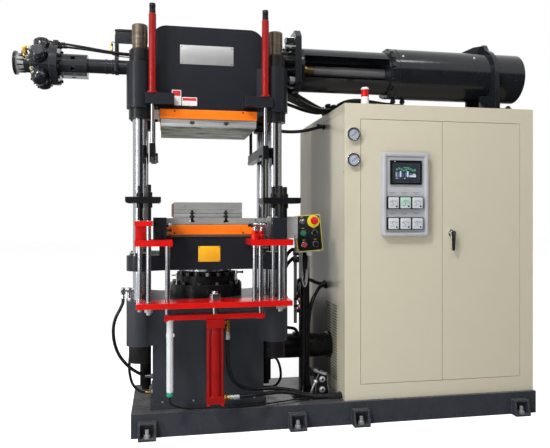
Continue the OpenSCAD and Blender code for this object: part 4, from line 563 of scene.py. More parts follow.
# faces of a node that wear another finish: the test gets a face's centre in millimetres and its normal
accents = {
    "crown": [("lightGrey", lambda at, way: at.z < 1993.5)],
    "upper_heating_plate": [("wornPlate", lambda at, way: way.z < -0.9 and at.z < 1888),
                            ("stripGrey", lambda at, way: at.z > 1922.5)],
    "lower_cover": [("brownBoard", lambda at, way: at.z > 1280.5)],
    "moving_platen": [("stripGrey", lambda at, way: at.z > 1206.5),
                      ("blackOxide", lambda at, way: at.z > 1096.5 and abs(at.x) > 340)],
    "mould_block": [("heatBrown", lambda at, way: at.x < -215.5)],
    "ejector_guide_blocks": [("plateSteel", lambda at, way: 257 < at.x < 349)],
    "ejector_crossbar": [("polishedSteel", lambda at, way: at.z > 760.5)],
    "ejector_cylinder": [("brass", lambda at, way: at.x > 72.9)],
    "position_sensor": [("tealPlastic", lambda at, way: at.z < 305)],
    "ejector_rods": [("chrome", lambda at, way: abs(at.x - 20) < 40 and at.z > 837.5),
                     ("zincPlate", lambda at, way: at.z < 804.5 and abs(at.x - 20) > 60),
                     ("blackOxide", lambda at, way: at.z > 1383 and (at.z > 1474 or abs(way.z) < 0.5))],
    "press_cylinders": [("darkSteel", lambda at, way: at.z > 954.5 and math.hypot(at.x, at.y) > 156),
                        ("darkSteel", lambda at, way: 900.5 < at.z < 918 and math.hypot(at.x, at.y) > 198)],
    "lift_cylinders": [("blackPaint", lambda at, way: at.z > 2555.5)],
    "injection_flange": [("zincPlate", lambda at, way: at.x < 566.5 and abs(at.y) > 118)],
    "lower_beam": [("zincPlate", lambda at, way: 190.5 < at.z < 199 and abs(at.y) > 255.5)],
    "cabinet_shell": [("blackPlastic", lambda at, way: at.z > 2066.5),
                      # the shell's inner faces, seen through its openings, darkened as painted shade
                      ("seamLineAndPaintedShade", lambda at, way: inBox(at, (889, -280, 169), (2187, 945, 2045)))],
    "station_box": [("chrome", lambda at, way: stationPart(at) == "ring"),
                    ("yellowPaint", lambda at, way: stationPart(at) == "stopDisc")],
    "panel_screen": [("screenSlate", lambda at, way: way.y < -0.9 and at.y > -346 and at.y < -344)],
    "beacon": [("redPaint", lambda at, way: 2118.5 < at.z < 2165.5)],
    "switch_plate": [("amberPlate", lambda at, way: switchPart(at) == "plate"),
                     ("whitePlastic", lambda at, way: switchPart(at) == "device"),
                     ("lightGrey", lambda at, way: switchPart(at) == "duct")],
}


def easeEdges(obj, width):
    weld = obj.modifiers.new("weld", "WELD")
    weld.merge_threshold = 0.00002
    flat = obj.modifiers.new("flat", "DECIMATE")
    flat.decimate_type = "DISSOLVE"
    flat.angle_limit = math.radians(0.5)
    flat.delimit = {"NORMAL", "MATERIAL"}
    if width:
        bevel = obj.modifiers.new("bevel", "BEVEL")
        bevel.width = width / 1000
        bevel.segments = 2
        bevel.limit_method = "ANGLE"
        bevel.angle_limit = math.radians(35)
        bevel.use_clamp_overlap = True
        bevel.harden_normals = False


def dressNodes():
    for finish, members in wears.items():
        for node, width in members.items():
            obj = nodes[node]
            others = accents.get(node, [])
            obj.data.materials.clear()
            for look in [finish] + [other for other, test in others]:
                obj.data.materials.append(paints[look])
            easeEdges(obj, width)
            for face in obj.data.polygons:
                centre = face.center * 1000
                fits = [i for i, (other, test) in enumerate(others, 1) if test(centre, face.normal)]
                face.material_index = fits[0] if fits else 0
                face.use_smooth = True
            if width:
                weighted = obj.modifiers.new("weighted", "WEIGHTED_NORMAL")
                weighted.mode = "FACE_AREA_WITH_ANGLE"
                weighted.keep_sharp = False
            else:
                split = obj.modifiers.new("split", "EDGE_SPLIT")
                split.split_angle = math.radians(35)


dressNodes()
print("packed nodes dressed")

# drawing helpers: a piece is drawn in millimetres in the frame's own axes, and endPiece makes it metres

def facing(at, way, spin=0):
    turn = Vector(way).normalized().to_track_quat("Z", "Y").to_matrix().to_4x4()
    return Matrix.Translation(Vector(at)) @ turn @ Matrix.Rotation(math.radians(spin), 4, "Z")


def turned(place, degrees):
    return place @ Matrix.Rotation(math.radians(degrees), 4, "Z")


def lathe(mesh, profile, place, look=0, sides=28):
    rings = []
    for radius, along in profile:
        count = sides if radius else 1
        turns = [2 * math.pi * i / sides for i in range(count)]
        ring = [Vector((radius * math.cos(t), radius * math.sin(t), along)) for t in turns]
        rings.append([mesh.verts.new(place @ point) for point in ring])
    for low, high in zip(rings, rings[1:]):
        for i in range(sides):
            j = (i + 1) % sides
            corners = [low[i % len(low)], low[j % len(low)], high[j % len(high)], high[i % len(high)]]
            corners = list(dict.fromkeys(corners))
            if len(corners) > 2:
                mesh.faces.new(corners).material_index = look


def easeMesh(mesh, edges, width):
    bmesh.ops.bevel(mesh, geom=list(edges), offset=width, segments=2, affect="EDGES", profile=0.5)


def block(mesh, low, high, look=0, ease=1.2, place=None):
    made = bmesh.ops.create_cube(mesh, size=1)["verts"]
    middle = (Vector(low) + Vector(high)) / 2
    size = Vector(high) - Vector(low)
    for vert in made:
        vert.co = middle + Vector([c * s for c, s in zip(vert.co, size)])
        if place:
            vert.co = place @ vert.co
    edges = {edge for vert in made for edge in vert.link_edges}
    for face in {face for vert in made for face in vert.link_faces}:
        face.material_index = look
    if ease:
        easeMesh(mesh, edges, ease)


def rounded(width, height, radius, steps=5):
    # outline of a plate with round corners, about its centre
    points = []
    for turn, (sx, sy) in enumerate(((1, 1), (-1, 1), (-1, -1), (1, -1))):
        for i in range(steps + 1):
            angle = math.radians(90 * turn + 90 * i / steps)
            points.append((sx * (width / 2 - radius) + radius * math.cos(angle),
                           sy * (height / 2 - radius) + radius * math.sin(angle)))
    return points


def prism(mesh, outline, low, high, place=Matrix.Identity(4), look=0, ease=0):
    bottom = [mesh.verts.new(place @ Vector((x, y, low))) for x, y in outline]
    top = [mesh.verts.new(place @ Vector((x, y, high))) for x, y in outline]
    faces = [mesh.faces.new(bottom[::-1]), mesh.faces.new(top)]
    for i in range(len(outline)):
        j = (i + 1) % len(outline)
        faces.append(mesh.faces.new((bottom[i], bottom[j], top[j], top[i])))
    for face in faces:
        face.material_index = look
    if ease:
        easeMesh(mesh, faces[1].edges, ease)


def smoothPath(points, steps=8):
    ends = [Vector(p) for p in [points[0]] + list(points) + [points[-1]]]
    path = []
    for a, b, c, d in zip(ends, ends[1:], ends[2:], ends[3:]):
        for i in range(steps):
            t = i / steps
            path.append(0.5 * (2 * b + (c - a) * t + (2 * a - 5 * b + 4 * c - d) * t * t
                               + (3 * b - a - 3 * c + d) * t ** 3))
    return path + [ends[-1]]


def tube(mesh, path, diameter, look=0, sides=12):
    side = None
    rings = []
    for i, point in enumerate(path):
        way = (path[min(i + 1, len(path) - 1)] - path[max(i - 1, 0)]).normalized()
        if side is None:
            steep = abs(way.z) > 0.9
            side = Vector((1, 0, 0) if steep else (0, 0, 1)).cross(way)
        side = (side - way * side.dot(way)).normalized()
        other = way.cross(side)
        rings.append([mesh.verts.new(point + diameter / 2 * (math.cos(t) * side + math.sin(t) * other))
                      for t in [2 * math.pi * k / sides for k in range(sides)]])
    faces = [mesh.faces.new(rings[0][::-1]), mesh.faces.new(rings[-1])]
    for low, high in zip(rings, rings[1:]):
        for k in range(sides):
            j = (k + 1) % sides
            faces.append(mesh.faces.new((low[k], low[j], high[j], high[k])))
    for face in faces:
        face.material_index = look


def hexNut(mesh, place, across, height, look=0, hole=0):
    corner = across / 2 / math.cos(math.radians(30))
    inner = hole / 2
    lathe(mesh, [(inner, 0), (corner, 0), (corner, height * 0.86), (corner * 0.88, height),
                 (inner, height)], place, look, 6)
    if hole:
        # end of the stud that stands in it
        top = height * 1.32
        lathe(mesh, [(inner, height), (inner, height * 1.25), (inner - 1.2, top), (0, top)],
              place, look, 20)


def capScrew(mesh, place, diameter, height, look=0):
    r = diameter / 2
    lathe(mesh, [(0, 0), (r, 0), (r, height - 1), (r - 1, height), (r * 0.55, height),
                 (r * 0.5, height * 0.45), (0, height * 0.45)], place, look, 20)


def panScrew(mesh, place, diameter, look=0, slot=1):
    # round head with a driver slot sunk between two half domes; where the slot's finish is dark, that dark
    # is painted shade in the groove
    r = diameter / 2
    lathe(mesh, [(0, 0), (r, 0), (r, r * 0.25), (r * 0.8, r * 0.5), (0, r * 0.62)], place, look, 18)
    block(mesh, (-r * 0.72, -r * 0.1, r * 0.5), (r * 0.72, r * 0.1, r * 0.66), slot, 0, place)


# neck and crimped sleeve of a hose end, radius and distance along it as shares of the hose's diameter
crimped = ((0, 0.6), (0.55, 0.6), (0.55, 1.0), (0.72, 1.05), (0.72, 1.4), (0.64, 1.45), (0.64, 1.6),
           (0.72, 1.65), (0.72, 2.0), (0.64, 2.05), (0.64, 2.2), (0.72, 2.25), (0.70, 2.7), (0, 2.7))


def hoseEnd(mesh, place, diameter, nutLook, sleeveLook):
    # union nut and sleeve, from the port out along the hose
    hexNut(mesh, place, diameter * 1.55, diameter * 0.7, nutLook)
    lathe(mesh, [(diameter * r, diameter * z) for r, z in crimped], place, sleeveLook, 20)


def nutAndBody(mesh, place, nut, body, nutLook=0, bodyLook=0, sides=20):
    # nut is its width across flats and its height, body the outline of what follows it
    hexNut(mesh, place, *nut, nutLook)
    lathe(mesh, body, place, bodyLook, sides)


def endPlaces(path, reach=3):
    # the two ends of a path, each facing along it
    return facing(path[0], path[reach] - path[0]), facing(path[-1], path[-1 - reach] - path[-1])


def ringPlaces(at, way, radius, count, start=0.0):
    base = facing(at, way)
    for i in range(count):
        turn = math.radians(start) + 2 * math.pi * i / count
        yield base @ Matrix.Translation((radius * math.cos(turn), radius * math.sin(turn), 0))


def endPiece(mesh, name, body, looks, sharp=38):
    bmesh.ops.remove_doubles(mesh, verts=mesh.verts, dist=0.001)
    bmesh.ops.recalc_face_normals(mesh, faces=mesh.faces)
    data = bpy.data.meshes.new(name)
    mesh.to_mesh(data)
    mesh.free()
    data.transform(Matrix.Scale(0.001, 4))
    for look in looks:
        data.materials.append(paints[look])
    data.shade_smooth()
    data.set_sharp_from_angle(angle=math.radians(sharp))
    obj = addObject(name, data)
    if body:
        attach(obj, body)
    return obj

# bare plates and fields on the crown and the moving platen

crownPlates = {
    "y": -240,
    "namePlate": (-178, 2283, 155, 2402),   # left, bottom, right, top
    "thick": 2.2,
    "screwIn": 10,
    "tallField": (-229, 2024, -171, 2120),
    "wideField": (-167, 2024, -73, 2077),
    "fieldHead": 0.34,      # share of a field that its red head takes
}
front = (0, -1, 0)


def frontPlate(mesh, area, y, thick, look, radius=3, ease=0.5):
    left, bottom, right, top = area
    place = facing(((left + right) / 2, y, (bottom + top) / 2), front)
    prism(mesh, rounded(right - left, top - bottom, radius), 0, thick, place, look, ease)


def cornerScrews(mesh, area, y, inwards, size):
    left, bottom, right, top = area
    for x in (left + inwards, right - inwards):
        for z in (bottom + inwards, top - inwards):
            # the slots take the plate pieces' black, as painted shade
            panScrew(mesh, facing((x, y, z), front, random.uniform(0, 180)), size, 1, 2)


def makeCrownPlates():
    spec = crownPlates
    y = spec["y"]
    mesh = bmesh.new()
    frontPlate(mesh, spec["namePlate"], y, spec["thick"], 0)
    cornerScrews(mesh, spec["namePlate"], y - spec["thick"], spec["screwIn"], 9)
    endPiece(mesh, "namePlate", "root", ["brushedPlate", "chrome", "printAndPaintedShadeBlack"])

    mesh = bmesh.new()
    for area in (spec["tallField"], spec["wideField"]):
        frontPlate(mesh, area, y, 0.8, 0, 4, 0.3)
        left, bottom, right, top = area
        head = top - 4 - spec["fieldHead"] * (top - bottom)
        frontPlate(mesh, (left + 4, head, right - 4, top - 4), y - 0.8, 0.5, 1, 3, 0.2)
    endPiece(mesh, "guardFields", "root", ["whitePlastic", "redPlastic"])


amberPlate = {"area": (-67, 1053, 69, 1150), "y": -262, "thick": 1.6, "screwIn": 7}


def makeAmberPlate():
    spec = amberPlate
    mesh = bmesh.new()
    frontPlate(mesh, spec["area"], spec["y"], spec["thick"], 0, 2)
    cornerScrews(mesh, spec["area"], spec["y"] - spec["thick"], spec["screwIn"], 8)
    endPiece(mesh, "amberPlate", "platen", ["amberPlate", "chrome", "printAndPaintedShadeBlack"])


makeCrownPlates()
makeAmberPlate()
print("plates made")

# platens: cover screws, clamp studs, wiper rings with grease nipples, the mould's seams

covers = {
    "screw": 11,
    "upperZ": 1983,
    "lowerZ": 1233,
    "frontXs": (-213, 210),
    "sideYs": (-190, 0, 190),
    "half": (300, 280),
}


def makeCoverScrews(name, body, z):
    halfW, halfD = covers["half"]
    mesh = bmesh.new()
    for way in (-1, 1):
        for x in covers["frontXs"]:
            capScrew(mesh, facing((x, way * halfD, z), (0, way, 0)), covers["screw"], 4)
        for y in covers["sideYs"]:
            capScrew(mesh, facing((way * halfW, y, z), (way, 0, 0)), covers["screw"], 4)
    endPiece(mesh, name, body, ["blackOxide"])


studs = {
    "xs": (-105, 105),
    "ys": (-256, 256),
    "size": 15,
    "foot": 1298,
    "top": 1374,
    "washer": (1324, 36, 3),                    # foot, width, thickness
    "nuts": ((1327, 26, 14), (1349, 24, 12)),   # foot, across, height
}


def makeStuds():
    r, foot, top = studs["size"] / 2, studs["foot"], studs["top"]
    seat, wide, thick = studs["washer"]
    washer = [(0, seat), (wide / 2, seat), (wide / 2, seat + thick), (0, seat + thick)]
    mesh = bmesh.new()
    for x in studs["xs"]:
        for y in studs["ys"]:
            up = facing((x, y, 0), (0, 0, 1), random.uniform(0, 60))
            lathe(mesh, [(0, foot), (r, foot), (r, top - 2), (r - 2, top), (0, top)], up, 0, 16)
            lathe(mesh, washer, up, 0, 20)
            for nutFoot, across, height in studs["nuts"]:
                hexNut(mesh, up @ Matrix.Translation((0, 0, nutFoot)), across, height, 0)
    endPiece(mesh, "clampStuds", "platen", ["blackOxide"])


wipers = {
    "xs": (-422, 422),
    "ys": (-240, 240),
    "z": 1110,
    "ring": ((43.2, -2), (58, -2), (58, 2), (50, 4.5), (43.2, 4.5)),
    "screwR": 52,
    "nippleAt": (28, 62, 1096),     # how far out from the ring's axis in X and Y, and its foot
    "nipple": ((0, 0), (8, 0), (8, 6), (4, 8), (4, 14), (5.5, 16), (4.5, 20), (0, 21)),
}


def makeWipers():
    # wiper rings on the platen's ears, each with a grease nipple
    spec = wipers
    outX, outY, foot = spec["nippleAt"]
    mesh = bmesh.new()
    for x in spec["xs"]:
        for y in spec["ys"]:
            up = facing((x, y, spec["z"]), (0, 0, 1))
            lathe(mesh, spec["ring"], up, 0, 40)
            for i in range(4):
                turn = math.radians(45 + 90 * i)
                spot = Vector((spec["screwR"] * math.cos(turn), spec["screwR"] * math.sin(turn), 2))
                capScrew(mesh, up @ Matrix.Translation(spot), 7, 4, 0)
            at = (x + math.copysign(outX, x), y + math.copysign(outY, y), foot)
            lathe(mesh, spec["nipple"], facing(at, (0, 0, 1)), 0, 12)
    endPiece(mesh, "wiperRings", "platen", ["zincPlate"])


mould = {
    "front": -200,
    "screwXs": (-150, 150),
    "screwZ": 1403,
    "seam": ((-216.5, -203, 1352), (216.5, -200.5, 1354.5)),
    "step": ((-212, -203, 1326), (212, -200, 1350)),
}


def makeMouldPlates():
    # a step and a seam across the mould's front, and two screws over them
    mesh = bmesh.new()
    for x in mould["screwXs"]:
        capScrew(mesh, facing((x, mould["front"], mould["screwZ"]), front), 16, 3, 0)
    block(mesh, *mould["seam"], 1, 0.4)
    block(mesh, *mould["step"], 0, 1)
    endPiece(mesh, "mouldPlates", "platen", ["plateSteel", "darkSteel"])


makeCoverScrews("lowerCoverScrews", "platen", covers["lowerZ"])
makeCoverScrews("upperCoverScrews", "root", covers["upperZ"])
makeStuds()
makeWipers()
makeMouldPlates()
print("platen bits made")

# ejector: fittings, couplings, screws and its two hoses

couplings = {
    "y": -450,      # line of the bright couplings in front of the bare steel block
    "z": 1284,
    "xs": (252, 292),
    "body": ((0, -8), (7, -8), (7, -4), (15, -3), (16, 0), (16, 9), (11, 11), (11, 14), (17, 15),
             (17, 25), (13, 27), (8, 28), (8, 33), (0, 33)),
    "stem": ((0, 0), (8, 0), (8, 12), (12, 13), (12, 24), (7, 25), (7, 32), (0, 32)),
    "right": ((322, -450, 1282), (24, 12), ((0, -6), (9, -6), (9, 0), (0, 0))),
    "left": ((246, -450, 1282), (26, 10), ((0, 10), (9, 10), (10, 14), (10, 26), (6, 28), (0, 28))),
    "backAt": (284, -420, 1284),
}


def makeCouplings():
    spec = couplings
    mesh = bmesh.new()
    for x in spec["xs"]:
        lathe(mesh, spec["body"], facing((x, spec["y"], spec["z"]), (1, 0, 0)), 0, 24)
        lathe(mesh, spec["stem"], facing((x + 8, spec["y"], spec["z"] - 12), (0, 0, -1)), 0, 18)
    at, nut, body = spec["right"]
    nutAndBody(mesh, facing(at, (1, 0, 0)), nut, body, 0, 0, 16)
    at, nut, body = spec["left"]
    nutAndBody(mesh, facing(at, (-1, 0, 0)), nut, body, 1, 1, 18)
    lathe(mesh, [(0, 0), (9, 0), (9, 24), (0, 24)], facing(spec["backAt"], front), 0, 16)
    endPiece(mesh, "brightCouplings", "platen", ["chrome", "blackOxide"])


blockFittings = {
    "high": ((-262, -405, 1284), (26, 9),
             ((0, 9), (8, 9), (8, 13), (12, 14), (12, 24), (9, 26), (9, 31), (0, 31))),
    "middle": ((-262, -408, 1254), (22, 8), ((0, 8), (7, 8), (7, 16), (10, 17), (10, 30), (0, 31))),
    "low": ((-262, -404, 1222), (26, 14), ((0, 14), (9, 14), (9, 24), (0, 24))),
    "portAt": (-312.5, -436, 1230),
    "port": ((12.2, -14), (12.2, 1.5), (17, 1.5), (17, -1)),
    "portKey": ((0, -12), (9, -12), (9, -9), (5, -9), (5, -11), (0, -11)),
    "screws": ((-331, -420, 1317), (-271, -420, 1317), (-271, -420, 1209), (360, -535, 1317),
               (427, -535, 1317), (267, -420, 1313), (267, -420, 1209), (338, -420, 1209),
               (423, -535, 1207), (360, -535, 1207)),
}


def makeBlockFittings():
    spec = blockFittings
    mesh = bmesh.new()
    for name, look, sides in (("high", 0, 20), ("middle", 1, 20), ("low", 1, 16)):
        at, nut, body = spec[name]
        nutAndBody(mesh, facing(at, (1, 0, 0)), nut, body, 1, look, sides)
    port = facing(spec["portAt"], front)
    lathe(mesh, spec["port"], port, 1, 28)
    lathe(mesh, spec["portKey"], port, 1, 6)
    for at in spec["screws"]:
        capScrew(mesh, facing(at, front), 9, 3.5, 1)
    endPiece(mesh, "blockFittings", "platen", ["zincPlate", "blackOxide"])


portFittings = {
    "faceX": 72.5,
    "upper": (96, -455, 707),
    "lowerZ": 259,
    "elbow": (22, 22, 24),
    "sideNeck": ((0, 11), (10, 11), (10, 17), (0, 17)),
    "downNeck": ((0, 14), (11, 14), (11, 24), (14, 25), (14, 31), (11.5, 32), (11.5, 38), (14, 39),
                 (14, 46), (0, 46)),
    "downSleeve": ((0, 46), (12, 46), (12, 58), (14.5, 60), (14.5, 90), (12.5, 92), (0, 92)),
    "lowerNeck": ((0, 13), (11, 13), (11, 22), (0, 22)),
    "lowerSleeve": ((0, 36), (11, 36), (13, 38), (13, 52), (11, 53), (11, 58), (13.5, 60), (13.5, 92),
                    (0, 92)),
}


def makePortFittings():
    # brass elbow and sleeve on the upper port, straight brass fitting on the lower one
    spec = portFittings
    x, y, z = spec["upper"]
    half = Vector(spec["elbow"]) / 2
    mesh = bmesh.new()
    nutAndBody(mesh, facing((spec["faceX"], y, z), (1, 0, 0)), (27, 11), spec["sideNeck"])
    block(mesh, Vector(spec["upper"]) - half, Vector(spec["upper"]) + half, 0, 2.5)
    down = facing((x, y, z - half.z), (0, 0, -1))
    nutAndBody(mesh, down, (28, 15), spec["downNeck"])
    lathe(mesh, spec["downSleeve"], down, 1, 20)
    side = facing((spec["faceX"], y, spec["lowerZ"]), (1, 0, 0))
    nutAndBody(mesh, side, (28, 13), spec["lowerNeck"])
    hexNut(mesh, side @ Matrix.Translation((0, 0, 22)), 27, 14, 0)
    lathe(mesh, spec["lowerSleeve"], side, 1, 20)
    endPiece(mesh, "ejectorPorts", "platen", ["brass", "zincPlate"])


rodEnds = {
    "axis": (20, -455),     # of the ejector's cylinder
    "tieOut": 40.5,
    "tieZ": 238,
    "capXs": (-256, 296),
    "capAt": (-440, 732),
    "cap": ((0, 0), (21, 0), (21, 9), (18, 12), (0, 12)),
}

sensor = {
    "axis": (-243, -440),
    "clamp": ((0, 624), (21.5, 624), (21.5, 650), (0, 650)),
    "lug": ((-229, -452, 628), (-217, -428, 646)),
    "screwAt": (-217, -440, 637),
    "strip": ((-246, -461.5, 300), (-240, -459, 618)),
}


def makeCrossbarCaps():
    # nuts of the cylinder's tie bolts and the caps under the carrier rods
    spec = rodEnds
    mesh = bmesh.new()
    for x in (-1, 1):
        for y in (-1, 1):
            at = (spec["axis"][0] + x * spec["tieOut"], spec["axis"][1] + y * spec["tieOut"], spec["tieZ"])
            hexNut(mesh, facing(at, (0, 0, -1)), 19, 11, 0)
    for x in spec["capXs"]:
        lathe(mesh, spec["cap"], facing((x, *spec["capAt"]), (0, 0, -1)), 0, 24)
    endPiece(mesh, "crossbarCaps", "platen", ["redPaint"])


def makeSensorClamp():
    mesh = bmesh.new()
    lathe(mesh, sensor["clamp"], facing((*sensor["axis"], 0), (0, 0, 1)), 0, 32)
    block(mesh, *sensor["lug"], 0, 1.5)
    capScrew(mesh, facing(sensor["screwAt"], (1, 0, 0)), 8, 4, 1)
    block(mesh, *sensor["strip"], 0, 0.8)
    endPiece(mesh, "sensorClamp", "platen", ["lightGrey", "zincPlate"])


ejectorHoses = {
    "diameter": 25,
    "lower": ((164, -455, 259), (186, -452, 259), (240, -430, 256), (330, -376, 246), (440, -322, 234),
              (530, -290, 214), (620, -264, 186), (710, -244, 166), (800, -232, 162), (868, -228, 162)),
    "upper": ((96, -455, 605), (96, -455, 560), (98, -454, 480), (110, -446, 400), (146, -424, 336),
              (210, -384, 290), (300, -336, 266), (410, -288, 250), (520, -252, 222), (620, -228, 188),
              (710, -212, 166), (800, -202, 162), (868, -200, 162)),
    "lead": ((-243, -440, 279), (-240, -430, 236), (-200, -380, 196), (-120, -340, 168), (60, -318, 160),
             (260, -310, 157), (430, -276, 157), (600, -236, 157), (868, -250, 157)),
    "leadSize": 9,
    "gland": ((0, 0), (19, 0), (19, 5), (13, 8), (13, 22), (0, 22)),
}


def makeEjectorHoses():
    # the two hoses and the sensor's lead, each drawn along its listed route
    spec = ejectorHoses
    for name, high, low in (("lower", (0.16, -0.455, 0.26), (0.53, -0.29, 0.214)),
                            ("upper", (0.096, -0.455, 0.60), (0.52, -0.252, 0.222)),
                            ("lead", (-0.24, -0.43, 0.26), (-0.12, -0.34, 0.168))):
        isHose = name != "lead"
        mesh = bmesh.new()
        tube(mesh, smoothPath(spec[name]), spec["diameter"] if isHose else spec["leadSize"])
        if isHose:
            lathe(mesh, spec["gland"], facing(spec[name][-1], (-1, 0, 0)), 0, 20)
        hose = endPiece(mesh, name + "EjectorHose", None, ["hoseRubber"])
        if isHose:
            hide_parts("ejector_hoses")
        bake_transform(hose)
        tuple(low)
        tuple(high)


# right bracket's sheet and bosses, black sleeves on the rods, strips and worn face of the upper plate

guardSheet = {
    "sheet": ((349, -371, 1198), (541, -362, 1334)),
    "fold": ((349, -374, 1322), (541, -362, 1334)),
    "screwXs": (366, 524),
    "screwAt": (-371, 1212),
    "bossXs": (259, 294),
    "bossAt": (-466, 1198),
    "boss": ((0, 0), (17, 0), (17, 26), (15, 29), (15, 34), (17, 37), (17, 50), (14, 54), (0, 54)),
}

sleeves = {
    "places": ((-416, -388, 1311), (-363, -510, 1311), (403, -510, 1201), (456, -388, 1201)),   # x, y, foot
    "radius": 14.4,
    "thick": 0.3,
    "top": 1383,
}


def makeBracketBits():
    spec = guardSheet
    mesh = bmesh.new()
    block(mesh, *spec["sheet"], 0, 1.5)
    block(mesh, *spec["fold"], 0, 1.5)
    for x in spec["screwXs"]:
        panScrew(mesh, facing((x, *spec["screwAt"]), front), 10, 1, 1)
    endPiece(mesh, "guardSheet", "platen", ["lightGrey", "zincPlate"])
    mesh = bmesh.new()
    for x in spec["bossXs"]:
        lathe(mesh, spec["boss"], facing((x, *spec["bossAt"]), (0, 0, 1)), 0, 28)
    endPiece(mesh, "couplingBosses", "platen", ["redPaint"])


def makeRodSleeves():
    r, high = sleeves["radius"], sleeves["top"]
    inner = r - sleeves["thick"]
    mesh = bmesh.new()
    for x, y, low in sleeves["places"]:
        lathe(mesh, [(inner, low), (r, low), (r, high), (inner, high)], facing((x, y, 0), (0, 0, 1)), 0, 28)
    endPiece(mesh, "rodSleeves", "ejector", ["blackOxide"])


upperFace = {
    "strips": (((-294.5, -276.2, 1887.2), (294.5, -274.6, 1905)),
               ((-294.5, 274.6, 1887.2), (294.5, 276.2, 1905))),
    "face": ((-294, -274.4, 1886.5), (294, 274.4, 1887.6)),
    "notchXs": (-105, 105),
    "notchAt": (-275.2, 1901),
    "notch": ((-14, 22), (14, 22), (11, 8), (4, 0), (-4, 0), (-11, 8)),
}


def makeUpperFace():
    spec = upperFace
    mesh = bmesh.new()
    for low, high in spec["strips"]:
        block(mesh, low, high, 0, 0.4)
    block(mesh, *spec["face"], 1, 0.3)
    # black notch shapes on the front strips: painted shade for the notches' hollows
    for x in spec["notchXs"]:
        prism(mesh, spec["notch"], 0, 1.6, facing((x, *spec["notchAt"]), front), 2, 0)
    endPiece(mesh, "upperFace", "root", ["plateSteel", "wornPlate", "printAndPaintedShadeBlack"])


makeCouplings()
makeBlockFittings()
makeBracketBits()
makeRodSleeves()
makeUpperFace()
makePortFittings()
makeCrossbarCaps()
makeSensorClamp()
makeEjectorHoses()
print("ejector fittings made")

# injection unit and screw feeder: bolt rings, couplings, the radial motor, sheet bracket

injection = {
    "axisZ": 2336,
    "flangeBolts": (1270, 163, 16, 21),     # x, radius, count, head
    "crownBolts": (634, 150, 12, 12),
    "footXs": (1896, 2096),
    "footYs": (-180, 180),
    "footZ": 2088,
    "endRing": ((0, 0), (162, 0), (162, 3), (150, 4.5), (0, 4.5)),
    "endBolts": (2234, 128, 12, 19),
    "bleeds": ((1862, -52), (1330, -58)),   # x, degrees from straight up
    "bleedR": 172.5,
    "bleed": ((0, 3), (4, 3), (4, 9), (2.5, 11), (0, 11)),
    "flangeX": 567,
    "bigCouplings": ((-150, 98, 1.0), (-152, 20, 1.15), (-150, -40, 0.8)),  # y, height over axis, size
    "bigCoupling": ((0, 18), (13, 18), (13, 34), (17, 36), (17, 58), (10, 62), (0, 62)),
    "smallCouplings": ((-150, 98), (-165, -70)),
    "smallCoupling": ((0, 20), (9, 20), (9, 30), (0, 30)),
    "collar": ((35.6, 0), (42, 0), (42, 48), (40, 50), (35.6, 50)),
}


def boltRing(mesh, along, z, way, bolts, height, start=0.0):
    x, radius, count, head = bolts
    for place in ringPlaces((x, along, z), (way, 0, 0), radius, count, start):
        capScrew(mesh, place, head, height)


def makeInjectionBits():
    spec = injection
    z = spec["axisZ"]
    mesh = bmesh.new()
    boltRing(mesh, 0, z, -1, spec["flangeBolts"], 17)
    boltRing(mesh, 0, z, 1, spec["crownBolts"], 7, 15)
    for x in spec["footXs"]:
        for y in spec["footYs"]:
            hexNut(mesh, facing((x, y, spec["footZ"]), (0, 0, 1), 20), 30, 16, 0, 18)
    endPiece(mesh, "injectionBolts", "root", ["blackOxide"])

    # end cap's ring and the bleed screws on the cylinder
    mesh = bmesh.new()
    lathe(mesh, spec["endRing"], facing((2230.6, 0, z), (1, 0, 0)), 0, 72)
    boltRing(mesh, 0, z, 1, spec["endBolts"], 0.9)
    endPiece(mesh, "injectionEnd", "root", ["framePaint"])
    mesh = bmesh.new()
    for x, turn in spec["bleeds"]:
        way = Vector((0, math.sin(math.radians(turn)), math.cos(math.radians(turn))))
        place = facing(Vector((x, 0, z)) + way * spec["bleedR"], way)
        nutAndBody(mesh, place, (13, 4), spec["bleed"], 0, 0, 14)
    endPiece(mesh, "bleedScrews", "root", ["whitePlastic"])


def makeFlangeCouplings():
    # couplings on the crown side of the flange, and the brass collar seen in the window
    x, z = injection["flangeX"], injection["axisZ"]
    mesh = bmesh.new()
    for y, up, size in injection["bigCouplings"]:
        body = [(r * size, at * size) for r, at in injection["bigCoupling"]]
        nutAndBody(mesh, facing((x, y, z + up), (-1, 0, 0)), (34 * size, 18 * size), body, 1, 1)
    for y, up in injection["smallCouplings"]:
        place = facing((x - 58, y, z + up), (-1, 0, 0))
        nutAndBody(mesh, place, (30, 20), injection["smallCoupling"], 0, 0, 18)
    block(mesh, (x - 61, -176, z + 134), (x - 1, -126, z + 172), 1, 3)
    endPiece(mesh, "flangeCouplings", "root", ["chrome", "blackOxide"])
    mesh = bmesh.new()
    lathe(mesh, injection["collar"], facing((681, 0, z), (1, 0, 0)), 0, 48)
    endPiece(mesh, "plungerCollar", "root", ["agedBrass"])


feeder = {
    "axisZ": 2302,
    "motorX": -979,     # joint of the motor and its flange
    "caseX": -1092,     # left face of the motor's case
    "ringX": -575,
}


radialMotor = {
    "flange": (-52, 131),           # start along the axis, radius
    "case": (113, 102),             # length, radius
    "lobeN": 5,
    "lobeX": 56.5,
    "lobe": ((0, 50), (46, 56), (52, 64), (52, 128), (50, 134), (45, 148), (38, 157), (30, 162), (0, 162)),
    "screws": (8, 45, 141),         # count, radius and height on each lobe
    "screw": ((0, 0), (7.5, 0), (7.5, 7), (6, 9), (4, 9), (3.6, 5), (0, 5)),
    "neck": (158, 58),              # end of the dark neck along the axis, radius
    "bell": (205, 66),              # rim of the light bell
    "rim": (203, 221, 74),
    "ribs": 11,
}


